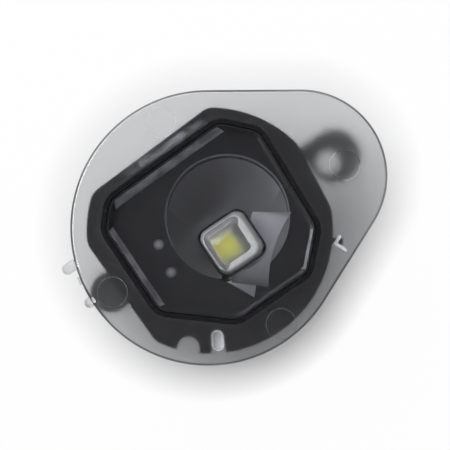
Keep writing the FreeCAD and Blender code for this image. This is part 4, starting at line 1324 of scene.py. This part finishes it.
    def rib(self) -> Work:
        """Gives the low corner rib behind the lens.

        Returns:
            The rib to join.
        """
        bm = bmesh.new()
        face = bm.faces.new([bm.verts.new((x, y, 0)) for x, y in self.rib_shape])
        extrude_up(bm, [face], self.rib_height)
        place = Matrix.Translation((*self.rib_corner, self.back + self.rib_low))
        turn = Matrix.Rotation(math.radians(self.rib_turn), 4, "Z")
        bmesh.ops.transform(bm, matrix=place @ turn, verts=bm.verts[:])
        return Work(bm, "rib")

    def build(self) -> Object:
        """Builds and dresses the lens.

        Returns:
            The lens.
        """
        plate = self.build_plate()
        plate.take(self.groove(), Combine.CUT)
        for x, y in self.marks:
            plate.take(self.mark(x, y), Combine.CUT)
        for x, y in self.tab_ends:
            reach = max(-math.sqrt(self.lobe_radius ** 2 - y ** 2) - x - 0.2, 0.1)
            plate.take(oval_bar(x + reach / 2, y, 0.0, reach, self.tab_width,
                                *self.span(self.tab_levels), self.tab_round, self.tab_round),
                       Combine.JOIN)
        gate = heading(self.gate_turn) * self.lobe_radius
        plate.take(block(*gate, self.gate_turn, self.gate_size, *self.span(self.gate_levels)),
                   Combine.JOIN)
        peg = heading(self.peg_turn) * self.peg_away
        plate.take(oval_bar(*peg, self.peg_turn, self.peg_reach, self.peg_width,
                            *self.span(self.peg_levels), self.peg_round), Combine.JOIN)
        plate.take(self.rib(), Combine.JOIN)
        return plate.piece("smoked_clear", "lens_cover", LensFinish, self.finish_of)

    def span(self, levels: Pair) -> Pair:
        """Gives two heights that are told from the lens's back."""
        return self.back + levels[0], self.back + levels[1]

    def outside(self, place: Vector) -> float:
        """Gives how far a point lies outside the egg-shaped outline; inside it is below zero.

        Args:
            place: The point.

        Returns:
            The distance.
        """
        tip = Vector(self.tip)
        along = place.xy.dot(tip.normalized())
        aside = math.sqrt(max(place.xy.length_squared - along ** 2, 0.0))
        lean = (self.lobe_radius - self.tip_radius) / tip.length
        rise = math.sqrt(1 - lean ** 2)
        reach = along * rise - aside * lean
        if reach < 0:
            return place.xy.length - self.lobe_radius
        if reach > rise * tip.length:
            return (place.xy - tip).length - self.tip_radius
        return aside * rise + along * lean - self.lobe_radius

    def finish_of(self, face: Facet) -> LensFinish:
        """Tells which finish a face has.

        Args:
            face: The face.

        Returns:
            Polished, frosted, the rim with its painted dark edge shade, a mark's edge, a tab or the
            milky small forms.
        """
        middle, level = face.middle, face.middle.z - self.back
        flat = face.normal.z < -LEVEL
        back = flat and -self.near < level < self.mark_depth + self.near
        if back and not WELD.holds(face.corner, self.groove_half - 0.2):
            return LensFinish.FROSTED
        ceiling = flat and abs(level - self.groove_depth) < self.near
        if ceiling and WELD.outside(middle) > self.frost_edge:
            return LensFinish.FROSTED
        away = min(math.dist(middle.xy, mark) for mark in self.marks) - self.mark_radius
        sloped = -LEVEL < face.normal.z < -0.1 and abs(away) < self.mark_edge + self.clear
        if sloped and level < self.mark_depth:
            return LensFinish.MARK
        apart = self.outside(middle)
        under = level < -self.clear
        if middle.x < self.tab_ends[0][0] + 3.0 and (under or apart > self.clear):
            return LensFinish.TAB if apart > 0.0 else LensFinish.FROSTED
        if under and apart < -1.0 or apart > self.clear:
            return LensFinish.PALE
        # The rim's dark finish is a painted dark line of shade along the lens's edge.
        rim = face.normal.z < 0.9 and level > self.near / 2 and apart > -0.75
        return LensFinish.RIM if rim else LensFinish.POLISHED


@dataclass
class LampShell:
    """The black shell: cup, flange, weld ridge, screw ear, boss and connector shroud."""

    edge: float = 0.1
    flange_under: float = 19.9

    def build(self) -> Object:
        """Copies the CAD shell, rounds its edges and dresses it.

        Returns:
            The shell.
        """
        shell = Work.copy_of("lamp_housing", "lamp_shell")
        shell.soften(self.edge, 3, 28.0)
        return shell.piece("black_moulding", "lamp_housing", ShellFinish, self.finish_of,
                           sharp=31.0, flat_over=20.0)

    def finish_of(self, face: Facet) -> ShellFinish:
        """Tells the flange's upper faces, which take a darker copy of the moulding as painted
        shade, from the rest.
        """
        flange = face.normal.z > 0.6 and face.middle.z > self.flange_under
        return ShellFinish.FLANGE if flange else ShellFinish.PLAIN


@dataclass
class InnerBezel:
    """The glossy frame round the light: rim, sloped sides, plate, oblique bowl and ramp."""

    top: float = 21.7
    floor: float = 18.6
    foot: float = 14.0
    plate: float = 1.2
    outside: float = -0.7
    outside_foot: float = -1.1
    lip: float = -1.05
    wall: float = 1.2
    slopes: tuple[float, ...] = (0.45, 0.45, 1.25, 0.45, 0.9, 0.45, 0.45, 0.45)
    bowl: Triple = (3.6, -0.2, 10.0)
    throat: Triple = (1.9, -4.1, 4.4)
    bowl_wall: float = 1.2
    base: float = 14.4
    ramp_near: tuple[Pair, Pair] = ((4.7, 0.1), (-2.9, -8.2))
    ramp_far: tuple[Pair, Pair] = ((12.5, -5.3), (2.8, -13.2))
    ramp_turn: float = -42.0
    ramp_bow: float = 20.0
    ramp_start: Pair = (0.1, 0.22)
    ramp_foot: float = 14.7
    ramp_top: float = 16.4
    ramp_wall: float = 0.6
    seat: float = 8.9
    seat_corner: float = 1.9
    rim_cut: float = 0.3
    pips: tuple[Pair, ...] = ((-8.0, 2.2), (-8.8, -2.6))
    pip_radius: float = 0.9
    pip_top: float = 0.15
    pip_rise: float = 0.18
    facet: tuple[Pair, Pair, Pair] = ((-2.7, -8.0), (3.4, -13.2), (0.0, -13.3))
    facet_tilt: float = 9.5
    edge_round: float = 0.12
    # sides whose slopes carry the painted sheen
    painted_sheen_sides: tuple[float, ...] = (92.0, 180.0, 315.5)
    bowl_steps: int = 192
    pip_steps: int = 48
    ramp_tilts: Pair = (10.0, 26.0)
    ramp_aim: float = 25.0
    # how far inside the lip the painted sheen reaches
    painted_sheen_depth: float = 1.6
    near: float = 0.05

    def block(self) -> Work:
        """Gives the frame's outer block.

        Returns:
            The block.
        """
        bm = bmesh.new()
        stacked(bm, [WELD.add(bm, self.foot, self.outside_foot),
                     WELD.add(bm, self.top, self.outside)])
        return Work(bm, "inner_frame")

    def recess(self) -> Work:
        """Gives the recess with its sloped sides, drawn past the rim.

        Returns:
            The recess to cut.
        """
        bm = bmesh.new()
        over = PAST / (self.top - self.floor)
        above = tuple(-slope * over for slope in self.slopes)
        stacked(bm, [WELD.add(bm, self.floor, self.lip, self.slopes),
                     WELD.add(bm, self.top + PAST, self.lip, above)])
        return Work(bm, "recess")

    def hollow(self) -> Work:
        """Gives the space under the plate.

        Returns:
            The space to cut.
        """
        bm = bmesh.new()
        face = WELD.add(bm, self.foot - 0.5, self.outside_foot - self.wall)
        extrude_up(bm, [face], self.floor - self.plate - self.foot + 0.5)
        return Work(bm, "hollow")

    def cone(self, low: float, high: float, grow: float) -> Work:
        """Gives the oblique bowl between two heights, grown by a wall.

        Args:
            low: Height of its lower end.
            high: Height of its upper end.
            grow: The wall by which it is grown.

        Returns:
            The solid.
        """
        bm = bmesh.new()
        discs = []
        for height in (low, high):
            share = (height - self.base) / (self.floor - self.base)
            x, y, radius = (a + (b - a) * share for a, b in zip(self.throat, self.bowl))
            discs.append(add_disc(bm, x, y, height, radius + grow, self.bowl_steps))
        stacked(bm, discs)
        return Work(bm, "bowl")

    def add_ramp_outline(self, bm: BMesh, height: float, shares: Pair, grow: float) -> BMFace:
        """Adds the ramp's outline at one height.

        Args:
            bm: The shape under work.
            height: Its height.
            shares: How far along each of its sides the bowed far end lies.
            grow: How far the outline is moved outwards.

        Returns:
            The face.
        """
        ahead = heading(self.ramp_turn).to_3d()
        aside = Vector((-ahead.y, ahead.x, 0.0))
        near, far = [], []
        for start, end, sign, share in zip(self.ramp_near, self.ramp_far, (1.0, -1.0), shares):
            first, last = Vector((*start, height)), Vector((*end, height))
            near.append(first - ahead * grow + aside * (sign * grow))
            far.append(first.lerp(last, share) + ahead * grow + aside * (sign * grow))
        chord = far[0] - far[1]
        outward = Vector((chord.y, -chord.x, 0.0)).normalized()
        behind = math.sqrt(self.ramp_bow ** 2 - chord.length ** 2 / 4)
        centre = (far[0] + far[1]) / 2 + outward * behind
        begin = math.atan2(far[0].y - centre.y, far[0].x - centre.x)
        sweep = 2 * math.asin(chord.length / 2 / self.ramp_bow)
        north, south = add_arc(bm, centre, self.ramp_bow, begin, sweep, 32)
        corners = [bm.verts.new(point) for point in near]
        for pair in ((south, corners[1]), (corners[1], corners[0]), (corners[0], north)):
            bm.edges.new(pair)
        edges = {edge for vert in bm.verts for edge in vert.link_edges
                 if not edge.link_faces and abs(vert.co.z - height) < TINY}
        return bmesh.ops.contextual_create(bm, geom=list(edges))["faces"][0]

    def ramp(self, foot: float, turn: float, high: float, grow: float) -> Work:
        """Gives the ramp with the step above it.

        Args:
            foot: Height of its foot.
            turn: Height at which the slope ends and the step starts.
            high: Height of its upper end.
            grow: How far it is moved outwards.

        Returns:
            The solid.
        """
        bm = bmesh.new()
        stacked(bm, [self.add_ramp_outline(bm, foot, self.ramp_start, grow),
                     self.add_ramp_outline(bm, turn, (1.0, 1.0), grow),
                     self.add_ramp_outline(bm, high, (1.0, 1.0), grow)])
        return Work(bm, "ramp")

    def rim_ring(self) -> Work:
        """Gives the shallow cone that breaks the bowl's edge.

        Returns:
            The cone to cut.
        """
        bm = bmesh.new()
        x, y, radius = self.bowl
        stacked(bm, [add_disc(bm, x, y, self.floor + cut, radius + cut, self.bowl_steps)
                     for cut in (-self.rim_cut, self.rim_cut)])
        return Work(bm, "rim_ring")

    def side_facet(self) -> Work:
        """Gives the wedge that slopes the plate beside the ramp.

        Returns:
            The wedge to cut.
        """
        bm = bmesh.new()
        ahead = heading(self.ramp_turn)
        fall = math.tan(math.radians(self.facet_tilt))
        corners = []
        for spot in self.facet:
            depth = (Vector(self.facet[2]) - Vector(spot)).dot(ahead) * fall
            corners.append(bm.verts.new((*spot, self.floor - depth)))
        extrude_up(bm, [bm.faces.new(corners)], 3.0)
        return Work(bm, "side_facet")

    def pip(self, x: float, y: float) -> Work:
        """Gives a low cone-shaped pip on the plate, which carries a painted highlight on its top.

        Args:
            x: Its middle along X.
            y: Its middle along Y.

        Returns:
            The pip to join.
        """
        bm = bmesh.new()
        levels = ((-0.4, self.pip_radius), (0.0, self.pip_radius), (self.pip_rise, self.pip_top))
        stacked(bm, [add_disc(bm, x, y, self.floor + rise, radius, self.pip_steps)
                     for rise, radius in levels])
        return Work(bm, "pip")

    def opening(self) -> Work:
        """Gives the square opening round the optic's corners.

        Returns:
            The opening to cut.
        """
        bm = bmesh.new()
        x, y = self.throat[:2]
        face = add_square(bm, x, y, self.base - PAST, self.seat, self.seat_corner)
        extrude_up(bm, [face], self.floor - self.base + 0.4)
        return Work(bm, "opening")

    def build(self) -> Object:
        """Builds and dresses the frame.

        Returns:
            The frame.
        """
        work = self.block()
        middle = self.floor - self.plate / 2
        inner_top = self.ramp_top - self.ramp_wall
        steps = (
            (self.recess(), Combine.CUT),
            (self.hollow(), Combine.CUT),
            (self.cone(self.base, middle, self.bowl_wall), Combine.JOIN),
            (self.ramp(self.base + 0.01, inner_top, middle + 0.01, self.ramp_wall), Combine.JOIN),
            (self.cone(self.base - 0.2, self.floor + 0.2, 0.0), Combine.CUT),
            (self.rim_ring(), Combine.CUT),
            (self.ramp(self.ramp_foot, self.ramp_top, self.floor + PAST, 0.0), Combine.CUT),
            (self.opening(), Combine.CUT),
            (self.side_facet(), Combine.CUT),
            *((self.pip(x, y), Combine.JOIN) for x, y in self.pips))
        for solid, how in steps:
            work.take(solid, how)
        work.soften(self.edge_round, 3, 16.0)
        return work.piece("black_gloss", "inner_bezel", BezelFinish, self.finish_of,
                          sharp=31.0, flat_over=6.0)

    def finish_of(self, face: Facet) -> BezelFinish:
        """Tells which finish a face has.

        Args:
            face: The face.

        Returns:
            Painted sheen on a slope, a pip with a painted highlight, the bowl's dull edge with a
            painted highlight, the ramp with a painted highlight, the facet beside it with a painted
            reflection, the bowl with painted light, or gloss.
        """
        place, normal = face.middle, face.normal
        slope = 0.05 < normal.z < 0.6 and self.floor + 0.1 < place.z < self.top
        # Three sloped sides get light patches of painted sheen.
        if slope and not WELD.holds(place, self.lip - self.painted_sheen_depth):
            inward = -normal.xy.normalized()
            if any(heading(turn).dot(inward) > 0.95 for turn in self.painted_sheen_sides):
                return BezelFinish.PAINTED_SHEEN
        # Pips get a painted highlight on their tops.
        pip = min(math.dist(place.xy, spot) for spot in self.pips) < self.pip_radius + self.near
        if pip and place.z > self.floor + 0.005:
            return BezelFinish.PIP
        x, y, radius = self.bowl
        away = math.hypot(place.x - x, place.y - y) - radius
        zone = self.rim_cut + self.near
        # The bowl's broken edge gets a painted rim highlight.
        edge = abs(away) < zone and -zone < place.z - self.floor < 0
        if edge and 0.2 < normal.z < LEVEL:
            return BezelFinish.PAINTED_RIM_HIGHLIGHT
        tilt = math.degrees(math.acos(min(normal.z, 1.0)))
        climb = math.degrees(math.atan2(-normal.y, -normal.x))
        forward = abs(climb - self.ramp_turn) < self.ramp_aim
        least, most = self.ramp_tilts
        # The ramp gets its painted highlight.
        sloping = least < tilt < most and forward or normal.z > 0.3 and self.before_ramp(place)
        if sloping and self.base < place.z < self.ramp_top:
            return BezelFinish.RAMP
        # The facet beside the ramp gets a painted bluish reflection.
        beside = abs(tilt - self.facet_tilt) < 3.0 and forward
        if beside and self.ramp_top < place.z < self.floor:
            return BezelFinish.FACET
        # The bowl gets its painted light.
        bowl = away < 0 and 0.03 < normal.z < 0.98 and self.base < place.z < self.floor
        return BezelFinish.BOWL if bowl else BezelFinish.GLOSS

    def before_ramp(self, place: Vector) -> bool:
        """Tells whether a point lies in the ramp's strip, on the ramp's side of the optic.

        Args:
            place: The point.

        Returns:
            Whether it does.
        """
        ahead = heading(self.ramp_turn)
        aside = Vector((-ahead.y, ahead.x))
        north, south = (aside.dot(place.xy - Vector(corner)) for corner in self.ramp_near)
        return ahead.dot(place.xy - Vector(self.throat[:2])) > 0.5 and north < 0.1 and south > -0.1


@dataclass
class LightSource:
    """The light's package, its phosphor and the clear optic over them."""

    led: Pair = (1.9, -4.1)
    board_top: float = 14.0
    optic_base: float = 8.2
    optic_shoulder: float = 7.2
    optic_crown: float = 5.4
    lean: Pair = (-0.3, 0.1)
    shoulder: float = 17.5
    summit: float = 18.4
    dome: float = 0.4
    corner: float = 1.6
    cavity: float = 5.9
    cavity_depth: float = 3.3
    cavity_corner: float = 0.3
    dome_rings: tuple[float, ...] = (1.0, 0.9, 0.78, 0.64, 0.48, 0.3, 0.12)
    shoulder_round: float = 0.35
    crown_round: float = 0.2
    leg_inset: float = 0.7
    leg_levels: Pair = (-1.2, 0.3)
    leg_radius: float = 0.5
    offset: Pair = (-1.0, 0.05)
    package: float = 3.6
    package_base: float = 0.1
    package_height: float = 0.7
    package_corner: float = 0.15
    tray: float = 3.0
    tray_floor: float = 0.45
    tray_top: float = 0.8
    tray_draft: float = 0.2
    tray_corners: Pair = (0.25, 0.3)
    mark_away: float = 1.55
    mark_floor: float = 0.62
    mark_radius: float = 0.14
    phosphor_corner: float = 0.3
    phosphor_rings: tuple[Pair, ...] = (
        (0.0, 1.0), (0.22, 1.0), (0.26, 0.94), (0.285, 0.8), (0.3, 0.5))

    def spot(self) -> Pair:
        """Gives the middle of the light's package, which lies beside the middle of the optic."""
        return self.led[0] + self.offset[0], self.led[1] + self.offset[1]

    def build_optic(self) -> Object:
        """Builds the clear block: leaning, bevelled, hollow below, on two legs.

        Returns:
            The optic.
        """
        bm = bmesh.new()
        x, y = self.led
        high_x, high_y = x + self.lean[0], y + self.lean[1]
        outlines = [add_square(bm, x, y, self.board_top, self.optic_base, self.corner),
                    add_square(bm, high_x, high_y, self.shoulder, self.optic_shoulder, self.corner)]
        outlines += [add_square(bm, high_x, high_y, self.summit - self.dome * share ** 2,
                                self.optic_crown * share, self.corner * share)
                     for share in self.dome_rings]
        stacked(bm, outlines)
        bmesh.ops.recalc_face_normals(bm, faces=bm.faces[:])
        round_edges(bm, edges_at(bm, self.shoulder), self.shoulder_round)
        round_edges(bm, edges_at(bm, self.summit - self.dome), self.crown_round)
        work = Work(bm, "clear_optic")
        hollow = bmesh.new()
        face = add_square(hollow, x, y, self.board_top - 0.2, self.cavity, self.cavity_corner)
        extrude_up(hollow, [face], self.cavity_depth + 0.2)
        work.take(Work(hollow, "cavity"), Combine.CUT)
        inset = self.optic_base / 2 - self.leg_inset
        low, high = (self.board_top + level for level in self.leg_levels)
        for side in (-1, 1):
            leg = rod(x + side * inset, y - side * inset, low, high, self.leg_radius, 24)
            work.take(leg, Combine.JOIN)
        return work.piece("clear_optic", "led_optic", OpticFinish, self.optic_finish, sharp=45.0)

    def optic_finish(self, face: Facet) -> OpticFinish:
        """Tells which finish a face of the optic has.

        Args:
            face: The face.

        Returns:
            The frosted roof of the hollow, pale walls and edges of painted glow, nearly clear edges
            with a fainter painted glow, or polish.
        """
        place, normal = face.middle, face.normal
        away = place.xy - Vector(self.led)
        inside = max(map(abs, away)) < self.cavity / 2 + 0.05
        if inside and normal.z < -0.9 and place.z > self.board_top + self.cavity_depth - 0.1:
            return OpticFinish.FROSTED
        # The outer walls get the pale finish: a painted glow for light reflected inside the clear
        # optic.
        if not inside and abs(normal.z) < 0.6 and place.z > self.board_top:
            return OpticFinish.PALE
        beside = max(map(abs, away - Vector(self.lean))) > self.optic_crown / 2 - 0.1
        if not (beside and 0.15 < normal.z < 0.97 and place.z > self.shoulder - 0.4):
            return OpticFinish.POLISHED
        # Slopes that face away from the lamps, and the foot of the west side, get the brighter
        # painted glow; the rest get its fainter copy.
        west_line = normal.x < -0.6 and place.z < self.shoulder + 0.12
        lit = normal.x - normal.y > 0.2 or west_line
        return OpticFinish.PALE if lit else OpticFinish.SIDE

    def build_package(self) -> Object:
        """Builds the white package with its tray and a corner mark.

        Returns:
            The package.
        """
        bm = bmesh.new()
        x, y = self.spot()
        base = self.board_top + self.package_base
        outline = add_square(bm, x, y, base, self.package, self.package_corner)
        extrude_up(bm, [outline], self.package_height)
        work = Work(bm, "light_package")
        tray = bmesh.new()
        levels = ((self.tray_floor, 0.0), (self.tray_top, self.tray_draft))
        stacked(tray, [add_square(tray, x, y, base + level, self.tray + draft, corner)
                       for (level, draft), corner in zip(levels, self.tray_corners)])
        work.take(Work(tray, "tray"), Combine.CUT)
        work.take(rod(x - self.mark_away, y + self.mark_away, base + self.mark_floor, base + 0.9,
                      self.mark_radius, 16), Combine.CUT)
        work.soften(0.05, 2, 40.0)
        return work.piece("package_white", "led_package")

    def build_phosphor(self) -> Object:
        """Builds the slightly domed phosphor plate.

        Returns:
            The phosphor.
        """
        bm = bmesh.new()
        x, y = self.spot()
        low = self.board_top + self.package_base + self.tray_floor
        size, corner = self.tray, self.phosphor_corner
        stacked(bm, [add_square(bm, x, y, low + rise, size * share, corner * share)
                     for rise, share in self.phosphor_rings])
        return Work(bm, "light_phosphor").piece("phosphor_yellow", "led_phosphor", sharp=50.0)

    def build(self) -> list[Object]:
        """Builds all three."""
        return [self.build_package(), self.build_phosphor(), self.build_optic()]


@dataclass
class ConnectorPins:
    """The two terminals in the socket."""

    edge: float = 0.08

    def build(self) -> list[Object]:
        """Copies the CAD terminals, rounds their edges and dresses them.

        Returns:
            The two terminals.
        """
        pins = []
        for node in ("terminal_positive", "terminal_negative"):
            work = Work.copy_of(node, node.replace("terminal", "pin"))
            work.soften(self.edge, 2, 40.0)
            pins.append(work.piece("tin_brass", node))
        return pins


@dataclass
class BoardDressing:
    """Finishes for the CAD parts that stay as they are on and under the board."""

    resistor: Triple = (0.03, 0.03, 0.035)
    capacitor: Triple = (0.42, 0.3, 0.17)
    body_share: float = 0.72
    finishes: tuple[tuple[str, str], ...] = (
        ("circuit_board", "board_black"), ("led_solder", "tin"), ("terminal_solder", "tin"),
        ("board_screws", "screw_steel"), ("reverse_diode", "diode_black"),
        ("surge_diode", "diode_black"), ("vent_membrane", "membrane_white"))
    resistors: tuple[str, ...] = ("resistor_1", "resistor_2", "resistor_3")
    capacitors: tuple[str, ...] = ("input_capacitor", "led_capacitor")

    def dress(self) -> None:
        """Gives each kept CAD node its finish."""
        for node, finish in self.finishes:
            self.assign(node, Palette.get(finish))
        for node in self.resistors + self.capacitors:
            colour = self.resistor if node in self.resistors else self.capacitor
            low, high = (Vector(corner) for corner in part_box(node))
            half = (high.x - low.x) / 2 * self.body_share
            chip = ChipEnds(f"chip_{node}", colour, middle=(low.x + high.x) / 2, half=half)
            self.assign(node, chip.make())

    def assign(self, node: str, material: Material) -> None:
        """Puts a material on a CAD node's object.

        Args:
            node: The node's name.
            material: The material.
        """
        mesh = frame["nodes"][node].data
        mesh.materials.clear()
        mesh.materials.append(material)
        LOG.info("dressed %s with %s", node, material.name)


class Lit(Enum):
    """What a lamp lights."""

    ALL = "everything"
    PART = "whole_part"
    OPTIC = "optic_only"


@dataclass(frozen=True)
class SoftLamp:
    """A square lamp that looks at the lens.

    It lies in a direction of the picture (right and up), at an angle from straight above in
    degrees. Its side is in metres and its power in watts.
    """

    name: str
    across: Pair
    lean: float
    size: float
    power: float
    lit: Lit = Lit.ALL


@dataclass
class Studio:
    """The pale floor, the soft lamps and the camera above the lens."""

    aim: Triple = (2.518, -1.110, 24.0)
    right: Pair = (0.831, -0.5563)
    field_width: float = 71.74
    distance: float = 600.0
    sensor: float = 36.0
    floor_half: float = 3.0
    lamp_distance: float = 0.6
    lamps: tuple[SoftLamp, ...] = (
        SoftLamp("key_lamp", (-0.64, 0.77), 42.0, 0.62, 3.7),
        SoftLamp("side_lamp", (-0.99, 0.14), 26.0, 0.24, 1.5, Lit.PART),
        SoftLamp("fill_lamp", (-0.4, -0.92), 60.0, 0.7, 1.2, Lit.PART),
        SoftLamp("optic_lamp", (0.95, -0.3), 55.0, 0.4, 1.6, Lit.OPTIC))
    paper: Pair = (0.9, 0.92)
    paper_scale: float = 900.0
    world_level: float = 0.9
    zenith_level: float = 0.1
    lit_side: Pair = (-0.57, 0.82)
    dim_level: float = 0.1
    white_start: float = -0.001
    white_end: float = 0.007
    white_most: float = 0.97

    def axes(self) -> tuple[Vector, Vector]:
        """Gives the picture's right and up directions on the floor."""
        right = Vector((*self.right, 0.0)).normalized()
        return right, Vector((-right.y, right.x, 0.0))

    def add_camera(self) -> None:
        """Places the camera above the lens, turned as the picture is."""
        right, up = self.axes()
        data = bpy.data.cameras.new("camera")
        data.sensor_width = self.sensor
        data.lens = self.sensor * self.distance / self.field_width
        data.clip_start, data.clip_end = 0.01, 20.0
        camera = bpy.data.objects.new("camera", data)
        back = Vector((0, 0, 1))
        place = Vector(self.aim) * MM + back * self.distance * MM
        turn = Matrix((right, up, back)).transposed().to_4x4()
        camera.matrix_world = Matrix.Translation(place) @ turn
        bpy.context.scene.collection.objects.link(camera)
        bpy.context.scene.camera = camera

    def add_lamp(self, lamp: SoftLamp, only: Collection | None) -> None:
        """Adds a lamp.

        Args:
            lamp: The lamp.
            only: The pieces that it lights, or none for all.
        """
        right, up = self.axes()
        flat = (right * lamp.across[0] + up * lamp.across[1]).normalized()
        angle = math.radians(lamp.lean)
        way = flat * math.sin(angle) + Vector((0, 0, math.cos(angle)))
        data = bpy.data.lights.new(lamp.name, "AREA")
        data.energy = lamp.power
        data.size = lamp.size
        item = bpy.data.objects.new(lamp.name, data)
        item.location = Vector(self.aim) * MM + way * self.lamp_distance
        item.rotation_euler = (-way).to_track_quat("-Z", "Y").to_euler()
        bpy.context.scene.collection.objects.link(item)
        if only:
            item.light_linking.receiver_collection = only

    def gather(self, name: str, *pieces: str) -> Collection:
        """Collects the named pieces, or all but the floor, for a lamp that is kept off the rest.

        Args:
            name: The collection's name.
            pieces: Names of the pieces, or none for all.

        Returns:
            The collection.
        """
        collection = bpy.data.collections.new(name)
        for item in bpy.context.scene.objects:
            if item.type == "MESH" and item.name != "floor" and (not pieces or item.name in pieces):
                collection.objects.link(item)
        return collection

    def add_floor(self) -> None:
        """Adds the pale floor: white further out, shadowed round the lamp and open from below."""
        bm = bmesh.new()
        bmesh.ops.create_grid(bm, x_segments=2, y_segments=2, size=self.floor_half)
        mesh = bpy.data.meshes.new("floor")
        bm.to_mesh(mesh)
        bm.free()
        floor = bpy.data.objects.new("floor", mesh)
        paper = MaterialSheet("floor_paper")
        place = paper.place()
        dark, light = ((shade,) * 3 for shade in self.paper)
        colour = paper.mix(paper.noise(place, self.paper_scale), dark, light)
        paper.dress(Base_Color=colour, Roughness=0.9, Specular_IOR_Level=0.1)
        path = paper.add("ShaderNodeLightPath").outputs
        seen = paper.math("MAXIMUM", path["Is Camera Ray"],
                          paper.math("MAXIMUM", path["Is Glossy Ray"], path["Is Transmission Ray"]))
        white = paper.add("ShaderNodeEmission", {"Color": (1.0, 1.0, 1.0, 1.0), "Strength": 1.0})
        paper.cover(paper.math("MULTIPLY", seen, self.white_share(paper, place)), white)
        below = paper.add("ShaderNodeNewGeometry").outputs["Backfacing"]
        paper.cover(below, paper.add("ShaderNodeBsdfTransparent"))
        mesh.materials.append(paper.material)
        bpy.context.scene.collection.objects.link(floor)

    def white_share(self, sheet: NodeSheet, place: NodeSocket) -> NodeSocket:
        """Gives how white the floor looks: not at all under the lens, and more away from it.

        Args:
            sheet: The floor material's node sheet.
            place: The point on the floor.

        Returns:
            The share's socket.
        """
        lens = LensPlate()
        tip = Vector((*lens.tip, 0.0)) * MM
        ahead = tip.normalized()
        lean = (lens.lobe_radius - lens.tip_radius) * MM / tip.length
        slant = lean / math.sqrt(1 - lean ** 2)
        flat = sheet.add("ShaderNodeVectorMath", {0: place, 1: (1.0, 1.0, 0.0)},
                         operation="MULTIPLY").outputs["Vector"]
        aside = sheet.math("ABSOLUTE", sheet.along(place, Vector((-ahead.y, ahead.x, 0.0))))
        skew = sheet.math("MULTIPLY", aside, slant)
        far = sheet.math("SUBTRACT", sheet.along(place, ahead), skew)
        along = sheet.span(far, 0.0, 1.0, 0.0, tip.length)
        spine = sheet.add("ShaderNodeVectorMath", {0: tip, "Scale": along}, operation="SCALE")
        gap = sheet.add("ShaderNodeVectorMath", {0: flat, 1: spine.outputs["Vector"]},
                        operation="DISTANCE")
        radius = sheet.span(along, lens.lobe_radius * MM, lens.tip_radius * MM)
        away = sheet.math("SUBTRACT", gap.outputs["Value"], radius)
        return sheet.span(away, 0.0, self.white_most, self.white_start, self.white_end)

    def add_world(self) -> None:
        """Adds a pale tent of light, dim straight above and on the side away from the lamp."""
        world = bpy.data.worlds.new("studio")
        world.use_nodes = True
        sheet = NodeSheet(world.node_tree)
        way = sheet.add("ShaderNodeTexCoord").outputs["Generated"]
        height = sheet.add("ShaderNodeSeparateXYZ", {"Vector": way}).outputs["Z"]
        right, up = self.axes()
        bright = (right * self.lit_side[0] + up * self.lit_side[1]).normalized()
        side = sheet.span(sheet.along(way, bright), self.dim_level, 1.0, -0.8, 0.8)
        above = sheet.span(height, self.world_level, self.zenith_level, 0.5, 0.92)
        sky = world.node_tree.nodes["Background"]
        sky.inputs["Color"].default_value = (1.0, 1.0, 1.0, 1.0)
        sheet.fill(sky.inputs["Strength"], sheet.math("MULTIPLY", side, above))
        bpy.context.scene.world = world

    def build(self) -> None:
        """Builds the whole studio."""
        self.add_floor()
        self.add_world()
        only = {Lit.ALL: None, Lit.PART: self.gather(Lit.PART.value),
                Lit.OPTIC: self.gather(Lit.OPTIC.value, "clear_optic")}
        for lamp in self.lamps:
            self.add_lamp(lamp, only[lamp.lit])
        self.add_camera()
        bpy.context.scene.view_settings.view_transform = "Standard"


def main() -> None:
    """Builds the pieces in order and reports each one."""
    logging.basicConfig(level=logging.INFO, format="%(name)s: %(message)s")
    pieces = [LampShell().build()]
    pieces += ConnectorPins().build()
    pieces += LightSource().build()
    pieces.append(InnerBezel().build())
    pieces.append(LensPlate().build())
    for piece in pieces:
        LOG.info("%s: %d faces", piece.name, len(piece.data.polygons))
    BoardDressing().dress()
    Studio().build()


if __name__ == "__main__":
    main()
